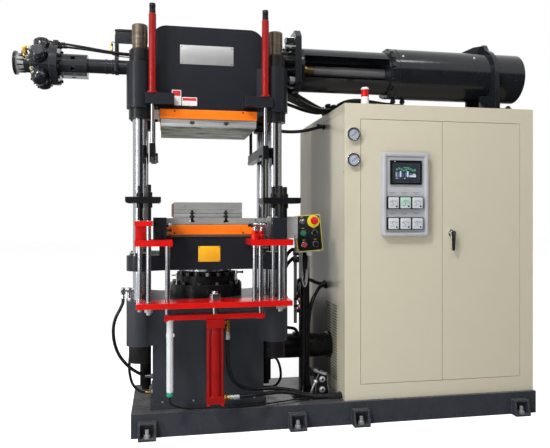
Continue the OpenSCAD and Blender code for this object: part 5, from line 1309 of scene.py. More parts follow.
def makeRadialMotor():
    spec = radialMotor
    axis = facing((feeder["motorX"], 0, feeder["axisZ"]), (-1, 0, 0))
    start, flangeR = spec["flange"]
    length, caseR = spec["case"]
    neckEnd, neckR = spec["neck"]
    bellEnd, bellR = spec["bell"]
    low, high, rimR = spec["rim"]
    screwN, screwR, screwZ = spec["screws"]
    mesh = bmesh.new()
    lathe(mesh, [(0, start), (flangeR - 3, start), (flangeR, start + 3), (flangeR, -3), (flangeR - 3, 0),
                 (caseR, 0), (caseR, length - 8), (caseR - 8, length), (neckR + 8, length + 3),
                 (neckR, length + 10), (neckR, neckEnd - 4), (neckR - 4, neckEnd), (40, neckEnd)],
          axis, 0, 64)
    lathe(mesh, [(44, neckEnd - 1), (48, neckEnd), (bellR - 6, bellEnd - 6), (bellR, bellEnd)], axis, 1, 64)
    lathe(mesh, [(bellR - 2, low + 2), (bellR + 1, low), (rimR - 1, low), (rimR, low + 2), (rimR, high - 3),
                 (rimR - 3, high), (rimR - 14, high), (rimR - 18, high - 5), (0, high - 5)], axis, 0, 64)
    for k in range(spec["ribs"]):
        at = axis @ Matrix.Rotation(2 * math.pi * (k + 0.3) / spec["ribs"], 4, "Z")
        block(mesh, (44, -3.5, neckEnd - 4), (60, 3.5, bellEnd - 8 - 9 * (k % 2)), 2, 1, at)
    block(mesh, (feeder["motorX"] + 4, -66, feeder["axisZ"] + 96),
          (feeder["motorX"] - start, 42, feeder["axisZ"] + 140), 0, 4)
    for i in range(spec["lobeN"]):
        turn = 2 * math.pi * i / spec["lobeN"]
        out = Vector((0, -math.sin(turn), math.cos(turn)))
        place = facing(Vector((feeder["motorX"] - spec["lobeX"], 0, feeder["axisZ"])), out, 22.5)
        lathe(mesh, spec["lobe"], place, 0, 40)
        for k in range(screwN):
            at = 2 * math.pi * (k + 0.5) / screwN
            spot = place @ Matrix.Translation((screwR * math.cos(at), screwR * math.sin(at), screwZ))
            lathe(mesh, spec["screw"], spot, 2, 12)
    for place in ringPlaces((feeder["motorX"] - length, 0, feeder["axisZ"]), (-1, 0, 0), 84, 10, 18):
        capScrew(mesh, place, 12, 5, 2)
    motor = endPiece(mesh, "radialMotor", "root",
                     ["glossPaint", "conduitGrey", "blackOxide"], 32)
    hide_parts("screw_motor")


motorFittings = {
    "elbowAt": (-50, 82),       # y, and height over the axis
    "elbowNut": (30, 14),
    "elbowNeck": ((0, 14), (12, 14), (12, 26), (0, 26)),
    "elbow": ((-54, -15, -15), (-24, 15, 15)),
    "legAt": (-39, 0, -15),
    "legNut": (31, 22),
    "leg": ((0, 22), (12, 22), (12, 34), (0, 34)),
    "plugs": ((-1075, -92, -50, 1.0), (-1066, -104, -78, 0.8), (-1112, -56, 30, 0.8),
              (-1104, -62, 6, 0.6), (-1118, -50, 52, 0.7)),     # x, y, height over the axis, size
    "stripNut": ((0, 0), (7, 0), (7, 8), (9.5, 9), (9.5, 30), (8, 32), (8, 44), (9.5, 46), (9.5, 58),
                 (0, 60)),
    "loop": ((0, 0, 0), (6, 0, 10), (24, -2, 2), (30, -2, -30), (30, 0, -74)),
    "lead": ((0, 0, -58), (6, 0, -72), (34, 0, -78), (90, 4, -84), (230, 8, -84), (259, 8, -84)),
}


def makeFeederBits():
    spec = motorFittings
    z, ringX = feeder["axisZ"], feeder["ringX"]
    left = (-1, 0, 0)
    mesh = bmesh.new()
    # brass elbow on the case's left face, its leg hanging down past the bell
    y, up = spec["elbowAt"]
    at = Vector((feeder["caseX"], y, z + up))
    nutAndBody(mesh, facing(at, left), spec["elbowNut"], spec["elbowNeck"], 1, 0, 18)
    low, high = spec["elbow"]
    block(mesh, at + Vector(low), at + Vector(high), 0, 4)
    nutAndBody(mesh, facing(at + Vector(spec["legAt"]), (0, 0, -1)), spec["legNut"], spec["leg"], 0, 0, 18)
    # plugs between the lower lobes and on the neck
    for x, y, up, size in spec["plugs"]:
        body = [(0, 14 * size), (8 * size, 14 * size), (8 * size, 24 * size), (0, 25 * size)]
        place = facing((x, y + 10, z + up), (-0.5, -1, -0.1))
        nutAndBody(mesh, place, (25 * size, 14 * size), body, 1, 2, 16)
    # brass nut beside the sheet bracket, with the lead that runs back to the strip
    lathe(mesh, spec["stripNut"], facing((ringX - 34, -4, z + 92), (0, 0, 1)), 0, 16)
    endPiece(mesh, "motorFittings", "root", ["brass", "zincPlate", "agedBrass"])

    mesh = bmesh.new()
    top = Vector((ringX - 34, -4, z + 152))
    for name, size in (("loop", 5), ("lead", 7)):
        tube(mesh, smoothPath([top + Vector(step) for step in spec[name]], 6), size)
    endPiece(mesh, "sensorLead", "root", ["hoseRubber"])

    # nuts behind the motor's flange and screws on the barrel's flange
    mesh = bmesh.new()
    for place in ringPlaces((feeder["motorX"] + 52, 0, z), (1, 0, 0), 116, 10, 18):
        hexNut(mesh, place, 18, 10, 0)
    boltRing(mesh, 0, z, -1, (-370, 62, 8, 14), 9, 22.5)
    endPiece(mesh, "feederScrews", "root", ["blackOxide"])

    # screws of the bearing housing's plate and of the sheet bracket
    mesh = bmesh.new()
    for x in (-900, -830, -775):
        capScrew(mesh, facing((x, -46, z - 66), front), 9, 4)
    for x in (ringX + 10, ringX + 90):
        panScrew(mesh, facing((x, -14, z + 190), front), 9, 0, 0)
    endPiece(mesh, "feederPlateScrews", "root", ["darkSteel"])


def makeSheetBracket():
    # strip that stands on the barrel's ring, and the cover sheet it carries to the crown
    left, right, crown = feeder["ringX"] - 13, feeder["ringX"] + 11, -404
    mesh = bmesh.new()
    for low, high, ease in (((left, -17, 2352), (right, 43, 2544), 1.5),
                            ((left, -16, 2474), (crown, 42, 2543), 2),
                            ((left, -22, 2532), (crown, 46, 2545), 1.5),
                            ((left, -60, 2262), (right, -52, 2356), 1.5),
                            ((left, -58, 2344), (right, -12, 2356), 1.5)):
        block(mesh, low, high, 0, ease)
    endPiece(mesh, "sheetBracket", "root", ["glossPaint"])


makeInjectionBits()
makeFlangeCouplings()
makeRadialMotor()
makeSheetBracket()
makeFeederBits()
print("injection and feeder bits made")

# crown and frame fittings: wire plugs, lift cylinders, roof plugs, bleed fittings, booster hoses

lifts = {
    "xs": (-345, 345),
    "y": -325,
    "tubeZ": 2077,
    "headRings": (2568, 2600),
    "headRing": ((18.4, 0), (20, 0.6), (20, 3.4), (18.4, 4)),
}

wirePlugs = {
    "downXs": (-329, -320),
    "downYs": (-219, -205, -190, -175),
    "downZ": 1936,
    "down": ((0, 0), (8, 0), (8, 5), (6, 8), (0, 8)),
    "sideAt": (-341, -222, 1966),
    "sidePitch": 26,
    "side": ((0, 5), (5, 5), (5, 13), (3, 17), (0, 17)),
    "plate": ((-338, -244, 1996), (-306, -241, 2012)),
    "pinAt": (-332, -244, 2004),
    "pinPitch": 11,
    "pin": ((0, 0), (4.2, 0), (4.2, 10), (2.5, 12), (0, 12)),
}


def makeWirePlugs():
    # plugs under, beside and in front of the heater wire block
    spec = wirePlugs
    mesh = bmesh.new()
    for i, y in enumerate(spec["downYs"]):
        lathe(mesh, spec["down"], facing((spec["downXs"][i % 2], y, spec["downZ"]), (0, 0, -1)), 0, 14)
    for i in range(3):
        place = facing(Vector(spec["sideAt"]) + Vector((0, spec["sidePitch"] * i, 0)), (-1, 0, 0))
        nutAndBody(mesh, place, (15, 5), spec["side"], 1, 0, 12)
    block(mesh, *spec["plate"], 0, 1)
    for i in range(3):
        place = facing(Vector(spec["pinAt"]) + Vector((spec["pinPitch"] * i, 0, 0)), front)
        lathe(mesh, spec["pin"], place, i % 2, 12)
    endPiece(mesh, "wirePlugs", "root", ["blackPlastic", "whitePlastic"])


def makeLiftFittings():
    # lift cylinders: gland screws, rings round each head and a port nut behind the gland
    y, z = lifts["y"], lifts["tubeZ"]
    mesh = bmesh.new()
    for x in lifts["xs"]:
        for place in ringPlaces((x, y, z + 12), (0, 0, 1), 27, 4, 45):
            capScrew(mesh, place, 6, 4, 0)
        for ringZ in lifts["headRings"]:
            lathe(mesh, lifts["headRing"], facing((x, y, ringZ), (0, 0, 1)), 0, 28)
        hexNut(mesh, facing((x, y + 6, z + 34), (0, 1, 0)), 15, 22, 1)
    endPiece(mesh, "liftFittings", "root", ["blackOxide", "brass"])


crownPlug = ((0, -1), (17, -1), (17, 0.6), (15, 1), (10, 1), (8, -1), (0, -1))


def makeCrownPlugs():
    # plugs of the lifting eyes on the roof
    mesh = bmesh.new()
    for x in (-250, 250):
        for y in (-150, 150):
            lathe(mesh, crownPlug, facing((x, y, 2517), (0, 0, 1)), 0, 24)
    endPiece(mesh, "crownPlugs", "root", ["blackOxide"])


# upright and side branch of the two bleed fittings that stand on the cylinder head
bleeds = {
    "left": (((-195, -112, 900), (0, 0, 1), 18,
              ((0, 0), (8, 0), (8, 10), (4.5, 12), (4.5, 36), (6.5, 38), (6.5, 72), (0, 73))),
             ((-195, -112, 958), (-1, 0, 0), 14, ((0, 0), (4, 0), (4, 32), (0, 33)))),
    "right": (((187, -118, 900), (0, 0, 1), 18,
               ((0, 0), (11, 0), (11, 14), (6, 16), (6, 60), (10, 62), (10, 82), (0, 84))),
              ((187, -118, 972), (1, 0, 0), 16, ((0, 0), (6, 0), (6, 34), (9, 36), (9, 46), (0, 46)))),
}


def makeBleedFittings():
    mesh = bmesh.new()
    for parts in bleeds.values():
        for at, way, sides, outline in parts:
            lathe(mesh, outline, facing(at, way), 0, sides)
    endPiece(mesh, "bleedFittings", "root", ["chrome"])


boosterHose = {
    "diameter": 17,
    "left": ((-428, -60, 520), (-462, -60, 512), (-484, -60, 470), (-493, -60, 400), (-492, -60, 330),
             (-474, -62, 262), (-440, -66, 222), (-404, -70, 207), (-345, -72, 206)),
    "right": ((428, -62, 400), (450, -66, 396), (474, -72, 366), (490, -74, 310), (490, -70, 250),
              (464, -54, 204), (430, -30, 188), (345, -6, 184)),
}


def makeBoosterHoses():
    spec = boosterHose
    d = spec["diameter"]
    mesh = bmesh.new()
    for name in ("left", "right"):
        path = smoothPath(spec[name])
        tube(mesh, path, d, 0)
        for end, sleeveLook in zip(endPlaces(path), (0, 2)):
            hoseEnd(mesh, end, d, 1, sleeveLook)
    endPiece(mesh, "boosterHoses", "root", ["hoseRubber", "zincPlate", "brass"])


makeWirePlugs()
makeLiftFittings()
makeCrownPlugs()
makeBleedFittings()
makeBoosterHoses()
print("crown and booster fittings made")

# hydraulic hoses from the crown, over the cabinet and along the feeder, by diameter

oilHoses = {
    28: (((350, -70, 2190), (392, -70, 2194), (480, -60, 2202), (570, -20, 2184), (680, 56, 2150),
          (790, 140, 2120), (868, 190, 2102), (902, 210, 2100), (908, 212, 2082)),
         ((350, -30, 2170), (392, -30, 2172), (480, -20, 2172), (570, 18, 2152), (680, 90, 2124),
          (790, 170, 2104), (872, 222, 2098), (908, 242, 2100), (916, 243, 2082)),
         ((350, 10, 2198), (392, 10, 2200), (480, 24, 2196), (570, 62, 2176), (680, 126, 2144),
          (790, 204, 2120), (876, 254, 2110), (918, 270, 2106), (926, 271, 2082))),
    24: (((350, -96, 2120), (380, -98, 2126), (460, -96, 2136), (560, -58, 2116), (680, 24, 2088),
          (800, 118, 2082), (866, 168, 2092), (888, 183, 2098), (892, 184, 2082)),
         ((350, 60, 2140), (392, 60, 2142), (480, 80, 2140), (600, 122, 2118), (720, 186, 2096),
          (820, 242, 2092), (878, 272, 2100), (892, 276, 2082)),
         ((350, -120, 2158), (384, -122, 2164), (470, -110, 2166), (580, -60, 2138), (700, 30, 2106),
          (800, 104, 2092), (890, 160, 2100), (930, 178, 2102), (938, 180, 2082)),
         ((300, 100, 1960), (330, 100, 1960), (440, 112, 1944), (570, 140, 1934), (700, 172, 1946),
          (830, 190, 1980), (868, 190, 1980)),
         ((944, 200, 2082), (946, 198, 2110), (972, 178, 2144), (1030, 140, 2166), (1110, 100, 2166),
          (1200, 70, 2150), (1290, 46, 2134), (1324, 41, 2140), (1330, 40, 2160)),
         ((944, 236, 2082), (946, 234, 2112), (980, 212, 2142), (1050, 170, 2156), (1160, 116, 2150),
          (1280, 70, 2132), (1380, 44, 2128), (1396, 41, 2138), (1400, 40, 2160))),
    15: (((-927, -50, 2422), (-880, -50, 2420), (-760, -49, 2406), (-640, -48, 2390), (-520, -46, 2380),
          (-400, -44, 2378), (-350, -44, 2378)),
         ((-927, 26, 2422), (-880, 26, 2422), (-760, 30, 2414), (-640, 34, 2402), (-520, 36, 2394),
          (-400, 38, 2392), (-350, 38, 2392))),
}


def makeOilHoses():
    mesh = bmesh.new()
    for diameter, routes in oilHoses.items():
        for route in routes:
            path = smoothPath(route, 6)
            tube(mesh, path, diameter, 0)
            for end in endPlaces(path, 2):
                hoseEnd(mesh, end, diameter * 0.94, 1, 1)
    hoses = endPiece(mesh, "oilHoses", "root", ["hoseRubber", "blackOxide"])
    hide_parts("hydraulic_hoses")


makeOilHoses()
print("hoses made")

# operator station: face plate, corner screws, cables, and the rail beside its post

station = {
    "size": (170, 236),
    "border": 9,
    "cornerAt": (76, 109),
    "seamY": (20, 22),
    "hinges": ((52, -80), (52, 80)),    # depth and height of the screws on either side
    "knobs": ((-38, 75),),
    "buttons": ((-38, 0), (37, 0), (-38, -75), (37, -75)),
    "seat": ((0, 0), (24, 0), (23.4, 0.8), (20.5, 0.8), (20.5, 0)),
    "rim": ((15.4, 8.2), (17.4, 8.2), (17.4, 9.6), (15.4, 9.6)),
}


def makeStationFace():
    spec = station
    wide, high = spec["size"]
    face = stationPlace @ facing((0, 0, 0), front)
    mesh = bmesh.new()
    prism(mesh, rounded(wide - 2, high - 2, 9), 0, 1.2, face, 0, 0.4)
    edge = spec["border"]
    prism(mesh, rounded(wide - edge, high - edge, 6), 1.2, 2.2, face, 1, 0.3)
    atX, atZ = spec["cornerAt"]
    for x in (-atX, atX):
        for z in (-atZ, atZ):
            panScrew(mesh, face @ Matrix.Translation((x, z, 1.4)), 11, 2, 0)
    for x, z in spec["knobs"] + spec["buttons"]:
        place = face @ Matrix.Translation((x, z, 2.2))
        lathe(mesh, spec["seat"], place, 1, 36)
        prism(mesh, rounded(17, 3, 1), 0, 0.3, place @ Matrix.Translation((0, 32, 0)), 0)
    for x, z in spec["buttons"]:
        lathe(mesh, spec["rim"], face @ Matrix.Translation((x, z, 0)), 2, 32)
    endPiece(mesh, "stationFace", "root",
             ["yellowPaint", "blackPlastic", "chrome"])

    # seam of the box's two halves and its hinge screws, on the sides
    mesh = bmesh.new()
    for way in (-1, 1):
        x = way * wide / 2
        near, far = spec["seamY"]
        block(mesh, (x - 0.4, near, -high / 2 + 2), (x + 0.4, far, high / 2 - 2), 1, 0, stationPlace)
        for y, z in spec["hinges"]:
            # their slots in the dark seam finish: painted shade
            panScrew(mesh, stationPlace @ facing((x, y, z), (way, 0, 0)), 9, 0, 1)
    endPiece(mesh, "stationSeams", "root", ["chrome", "seamLineAndPaintedShade"])


rail = {
    "x": (567, 587),
    "y": (-150, -134),
    "z": (631, 1109),
    "arms": (700, 1046),
    "sensors": (745, 791),
    "plug": ((0, 0), (5, 0), (5, 8), (3.5, 11), (0, 11)),
}


def makeRail():
    spec = rail
    (x0, x1), (y0, y1), (z0, z1) = spec["x"], spec["y"], spec["z"]
    middle = (x0 + x1) / 2
    mesh = bmesh.new()
    block(mesh, (x0, y0, z0), (x1, y1, z1), 0, 1)
    for z in spec["arms"]:
        block(mesh, (x1 - 2, y0 + 4, z), (618, -116, z + 24), 1, 1)
        capScrew(mesh, facing((middle, y0, z + 12), front), 9, 4, 1)
    block(mesh, (middle - 1.5, y0 - 0.3, z0 + 1), (middle + 1.5, y0 + 0.5, z1 - 1), 1, 0)
    for z in spec["sensors"]:
        block(mesh, (x0 - 4, y0 - 5, z - 9), (x1 + 17, y0 + 1, z + 9), 1, 0.8)
        block(mesh, (x1 + 2, y0 - 19, z - 13), (x1 + 17, y0 - 5, z + 13), 2, 1.5)
        block(mesh, (x1 + 5, y0 - 20, z - 4), (x1 + 14, y0 - 19, z + 9), 3, 0.4)
        lathe(mesh, spec["plug"], facing((x1 + 9, y0 - 12, z - 13), (0, 0, -1)), 1, 14)
    for z in (z1 - 20, z1 - 66):
        block(mesh, (x0 - 5, y0 - 7, z - 12), (x1 + 12, y1 + 4, z + 12), 1, 3)
    endPiece(mesh, "sensorRail", "root",
             ["stripGrey", "blackPlastic", "redPlastic", "whitePlastic"])


# runs of each finish: diameter and route, those over 15 mm with a gland at either end
cables = {
    "conduitGrey": (
        (9, ((606, -176, 1112), (604, -160, 1080), (608, -150, 1010), (620, -146, 930), (634, -144, 880),
              (644, -143, 872), (653, -143, 898), (660, -143, 950), (665, -146, 1040), (668, -170, 1110))),
        (9, ((618, -176, 1110), (617, -160, 1074), (621, -147, 1000), (630, -143, 930), (638, -140, 902),
              (645, -140, 908), (650, -141, 950), (655, -146, 1040), (658, -172, 1106)))),
    "hoseRubber": (
        (18, ((641, -178, 1096), (638, -168, 1060), (634, -146, 1000), (633, -138, 900), (632, -138, 600),
              (632, -138, 300), (630, -142, 200), (620, -160, 166), (600, -170, 158), (560, -150, 157))),
        (24, ((600, -160, 800), (597, -156, 846), (596, -132, 890), (608, -90, 906), (640, -54, 908),
              (700, -36, 904), (770, 60, 874), (830, 150, 856), (868, 190, 852))),
        (28, ((868, 150, 842), (836, 112, 846), (790, 50, 838), (744, -14, 800), (712, -48, 750),
              (692, -54, 660), (684, -54, 540), (680, -54, 300), (690, -56, 200), (716, -60, 148))),
        (23, ((584, -126, 1092), (576, -120, 1112), (560, -112, 1114), (531, -92, 1077), (516, -40, 1000),
              (508, 30, 880), (488, 110, 720), (430, 150, 610), (345, 156, 590))),
        (23, ((584, -126, 1052), (574, -122, 1062), (549, -100, 1036), (531, -70, 1001), (514, -20, 920),
              (502, 50, 800), (470, 110, 640), (420, 124, 548), (345, 124, 520))),
        (7, ((596, -162, 732), (598, -164, 700), (606, -160, 676), (618, -146, 676), (626, -131, 690))),
        (7, ((596, -162, 778), (604, -166, 766), (614, -160, 752), (622, -140, 750), (626, -131, 756))),
        (8, ((642, -196, 1098), (648, -180, 1060), (652, -148, 1000), (652, -134, 900), (652, -134, 400))),
        (22, ((345, 0, 590), (400, -6, 588), (480, -12, 584), (560, -16, 578), (604, -16, 566),
              (620, -14, 530), (622, -4, 500))),
    ),
}


def makeCables():
    for look, runs in cables.items():
        mesh = bmesh.new()
        for size, points in runs:
            path = smoothPath(points)
            tube(mesh, path, size, 0)
            if size > 15:
                gland = [(0, size * 0.5), (size * 0.62, size * 0.5), (size * 0.62, size * 0.9),
                         (size * 0.54, size), (0, size)]
                for place in endPlaces(path):
                    nutAndBody(mesh, place, (size * 1.35, size * 0.55), gland, 1, 1, 18)
        endPiece(mesh, look + "Cables", "root", [look, "blackPlastic"])


# valve block beside the cabinet, elbow at the lower beam, and the prefill line

valves = {
    "plateAt": (744, -186, 212),
    "plate": ((-44, -64), (52, -64), (38, 92), (-8, 112), (-34, 60)),
    "plateBack": -62,
    "domes": (196, 264),
    "domeAt": (748, -186),
    "dome": ((0, 0), (20, 0), (20, 6), (15, 8), (15, 14), (11, 16), (11, 11), (0, 11)),
    "domeKey": ((0, 11), (6, 11), (6, 20), (0, 20)),
    "arm": ((771, -192, 296), (748, -194, 304), (722, -194, 314), (696, -192, 324)),
    "armNeck": ((0, 0), (11, 0), (11, 24), (0, 24)),
    "leg": ((704, -190, 252), (694, -192, 236), (684, -192, 214), (676, -190, 188), (674, -188, 152)),
    "pipe": 15,
}


def makeValveBlock():
    spec = valves
    mesh = bmesh.new()
    prism(mesh, spec["plate"], spec["plateBack"], 0, facing(spec["plateAt"], front), 1, 3)
    for z in spec["domes"]:
        at = facing((*spec["domeAt"], z), front)
        lathe(mesh, spec["dome"], at, 0, 30)
        lathe(mesh, spec["domeKey"], at, 1, 6)
    tube(mesh, smoothPath(spec["arm"], 4), spec["pipe"], 0)
    lathe(mesh, spec["armNeck"], facing((712, -192, 318), (-0.86, 0, 0.5)), 0, 18)
    tube(mesh, smoothPath(spec["leg"], 5), spec["pipe"], 0)
    hexNut(mesh, facing((700, -191, 246), (0.5, 0, 1)), 27, 16, 0)
    endPiece(mesh, "valveBlock", "root", ["zincPlate", "blackPlastic"])


beamElbow = {
    "y": -240,
    "upX": -486,
    "foot": 820,
    "up": ((0, 16), (12, 16), (12, 54), (0, 54)),
    "levels": (872, 900),       # low and high end of the two cubes of the elbow
    "cubes": ((-500, -472), (-536, -509)),
    "rightPlug": ((0, 0), (10, 0), (10, 6), (0, 7)),
    "leftNeck": ((0, 0), (11, 0), (11, 10), (0, 10)),
    "downX": -522,
    "down": ((0, 14), (12, 14), (13, 17), (13, 40), (11, 42), (0, 42)),
    "hose": ((-522, -240, 834), (-524, -240, 806), (-542, -239, 764), (-566, -237, 716), (-580, -232, 650),
             (-574, -220, 560), (-544, -190, 470), (-484, -160, 390), (-410, -150, 340), (-345, -148, 326)),
    "hoseSize": 20,
}


def makeBeamElbow():
    # elbow on the left ear of the lower beam, with the hose that hangs from it
    spec = beamElbow
    y, (low, high) = spec["y"], spec["levels"]
    middle = (low + high) / 2
    mesh = bmesh.new()
    nutAndBody(mesh, facing((spec["upX"], y, spec["foot"]), (0, 0, 1)), (29, 16), spec["up"])
    for left, right in spec["cubes"]:
        block(mesh, (left, y - 14, low), (right, y + 14, high), 0, 3)
    left, right = spec["cubes"][0]
    lathe(mesh, spec["rightPlug"], facing((right, y, middle), (1, 0, 0)), 0, 18)
    lathe(mesh, spec["leftNeck"], facing((left, y, middle), (-1, 0, 0)), 0, 20)
    nutAndBody(mesh, facing((spec["downX"], y, low), (0, 0, -1)), (28, 14), spec["down"])
    path = smoothPath(spec["hose"])
    tube(mesh, path, spec["hoseSize"], 1)
    hoseEnd(mesh, endPlaces(path)[1], 18, 0, 0)
    endPiece(mesh, "beamElbow", "root", ["chrome", "hoseRubber"])


prefill = {
    "at": (345, 60, 440),
    "pipe": ((0, 0), (84, 0), (86, 2), (86, 24), (84, 26), (64, 27), (62, 52), (72, 56), (72, 80), (64, 82),
             (64, 88)),
    "ring": ((64, 88), (86, 88), (88, 90), (88, 112), (86, 114), (78, 115)),
    "body": ((78, 115), (82, 140), (83, 200), (83, 430), (80, 436), (80, 500), (88, 502), (90, 504),
             (90, 521), (88, 523), (0, 523)),
    "nuts": ((26, 1, 74), (114, 1, 77), (88, -1, 77)),      # along the axis, the way they face, radius
    "boss": ((262, -30, 76), (322, 30, 92)),
}


def makePrefill():
    spec = prefill
    axis = facing(spec["at"], (1, 0, 0))
    mesh = bmesh.new()
    lathe(mesh, spec["pipe"], axis, 0, 48)
    lathe(mesh, spec["ring"], axis, 1, 48)
    lathe(mesh, spec["body"], axis, 0, 48)
    x, y, z = spec["at"]
    for start, way, radius in spec["nuts"]:
        for place in ringPlaces((x + start, y, z), (way, 0, 0), radius, 8, 22.5):
            hexNut(mesh, place, 19, 11, 2)
    low, high = spec["boss"]
    block(mesh, Vector(spec["at"]) + Vector(low), Vector(spec["at"]) + Vector(high), 0, 3)
    pipe = endPiece(mesh, "prefillLine", "root", ["blackPaint", "rustBrown", "darkSteel"])
    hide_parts("prefill_pipe")


# the selector's knob, its round part a hair slimmer than the hole that it turns in

selector = {
    "at": (-38, 0, 75),
    "knob": ((0, -20), (14.6, -20), (14.6, 10), (13.2, 12), (0, 12)),
    "grip": ((-5, -14), (5, 14), 14),
}


def makeSelector():
    spec = selector
    place = stationPlace @ facing(spec["at"], front)
    (x0, z0), (x1, z1), high = spec["grip"]
    mesh = bmesh.new()
    lathe(mesh, spec["knob"], place, 0, 40)
    block(mesh, (x0, z0, 11), (x1, z1, 12 + high), 0, 2, place)
    block(mesh, (-0.8, z1 - 9, 12 + high - 0.2), (0.8, z1 - 1, 12 + high + 0.4), 1, 0, place)
    knob = endPiece(mesh, "selectorKnob", "selector", ["chrome", "printAndPaintedShadeBlack"])
    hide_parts("selector_knob")


makeStationFace()
makeSelector()
makeRail()
makeCables()
makeValveBlock()
makeBeamElbow()
makePrefill()
print("station, rail and cables made")

# control panel: housing, screen, meters and gauges

panel = {
    "left": 1109,
    "low": 1206,
    "size": (317, 544),
    "depth": 45,
    "rim": 27,
    "recess": 10,
    "corner": 20,
    "backY": -301,
}


def rings(mesh, loops, place):
    # bridges outlines that have as many points each, given with their heights
    made = [[mesh.verts.new(place @ Vector((x, y, high))) for x, y in outline] for outline, high in loops]
    for low, high in zip(made, made[1:]):
        for i in range(len(low)):
            j = (i + 1) % len(low)
            mesh.faces.new((low[i], low[j], high[j], high[i]))
    return made


def makePanelHousing():
    spec = panel
    wide, high = spec["size"]
    place = facing((spec["left"] + wide / 2, spec["backY"], spec["low"] + high / 2), front)
    rim, corner, depth = spec["rim"], spec["corner"], spec["depth"]
    mesh = bmesh.new()
    loops = [(rounded(wide, high, corner), 0), (rounded(wide, high, corner), depth - 7),
             (rounded(wide - 4, high - 4, corner - 2), depth - 2.5),
             (rounded(wide - 11, high - 11, corner - 4), depth),
             (rounded(wide - 2 * rim + 8, high - 2 * rim + 8, 9), depth),
             (rounded(wide - 2 * rim + 4, high - 2 * rim + 4, 7), depth - 1.5),
             (rounded(wide - 2 * rim, high - 2 * rim, 6), depth - spec["recess"])]
    made = rings(mesh, loops, place)
    mesh.faces.new(made[-1])
    mesh.faces.new(made[0][::-1])
    housing = endPiece(mesh, "panelHousing", "left_door", ["greyPaint"], 50)
    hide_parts("control_panel")
    mesh = bmesh.new()
    for x in (-1, 1):
        for z in (-1, 1):
            at = place @ Matrix.Translation((x * (wide / 2 - 14), z * (high / 2 - 14), depth))
            # their slots in black: painted shade
            panScrew(mesh, at, 8, 0, 1)
    endPiece(mesh, "panelScrews", "left_door", ["lightGrey", "printAndPaintedShadeBlack"])


screenArea = {"low": (1173, 1555), "high": (1362, 1684), "y": -345}


def onScreen(mesh, left, low, wide, high, look, radius=0.8, thick=0.5):
    # left and low as shares of the screen, from its lower left corner
    x0, z0 = screenArea["low"]
    x1, z1 = screenArea["high"]
    middle = (x0 + (left + wide / 2) * (x1 - x0), screenArea["y"], z0 + (low + high / 2) * (z1 - z0))
    outline = rounded(wide * (x1 - x0), high * (z1 - z0), radius, 2)
    prism(mesh, outline, 0, thick, facing(middle, front), look)


# fields of the screen: left, low, width and height as shares of it, and the finish
screenRows = ((0.40, 0.72, 0.22, 0.055, 1), (0.27, 0.27, 0.055, 0.30, 3), (0.53, 0.27, 0.060, 0.30, 3),
              (0.21, 0.27, 0.045, 0.24, 2), (0.47, 0.27, 0.045, 0.24, 2), (0.62, 0.27, 0.24, 0.10, 3),
              (0.64, 0.39, 0.07, 0.09, 2), (0.74, 0.39, 0.10, 0.05, 3), (0.35, 0.30, 0.08, 0.05, 2),
              (0.35, 0.40, 0.08, 0.05, 2), (0.13, 0.19, 0.06, 0.04, 3), (0.23, 0.19, 0.06, 0.04, 2),
              (0.42, 0.19, 0.06, 0.04, 3))


def makeScreenFields():
    mesh = bmesh.new()
    onScreen(mesh, 0.10, 0.17, 0.80, 0.62, 0, 1, 0.2)
    for i in range(9):
        onScreen(mesh, 0.14 + 0.082 * i, 0.60 + 0.05 * math.sin(1.5 * i), 0.058, 0.10, 1)
    for row in screenRows:
        onScreen(mesh, *row)
    for i in range(5):
        onScreen(mesh, 0.12, 0.28 + 0.055 * i, 0.06, 0.025, 3)
    endPiece(mesh, "screenFields", "left_door",
             ["screenSlate", "screenGreen", "screenBlue", "screenWhite"])
    mesh = bmesh.new()
    lathe(mesh, [(0, 0), (3, 0), (3, 0.6), (0, 0.8)], facing((1190, -348, 1690), front), 0, 16)
    endPiece(mesh, "screenLamp", "left_door", ["lightGrey"])


meters = {
    "xs": (1137, 1219, 1301),
    "zs": (1249, 1383),
    "width": 80,
    "face": 71,
    "pivot": (0, -16, 1.4),
    "ticks": (11, 10, 35, 0.8),         # count, degrees apart, outer radius, half width
    "dots": (20, 5, 26.6, 27.8, 1.6),   # count, degrees apart, inner and outer radius, half width
    "firstTick": 40,
    "handLength": 31,
    "cover": (0, -27, 0),               # strip under the scale, with the zero screw and a bare line
    "zeroAt": (20, -23, 1.4),
    "zero": ((0, 0), (5.6, 0), (5.6, 2), (4.6, 2.8), (0, 2.8)),
    "lineAt": (-14, -17, 0),
    "y": -358,
    "labelY": -336,
    "mint": 4,      # the meter with the mint face
    "pointers": (48, 62, 40, 55, 44, 66),
}


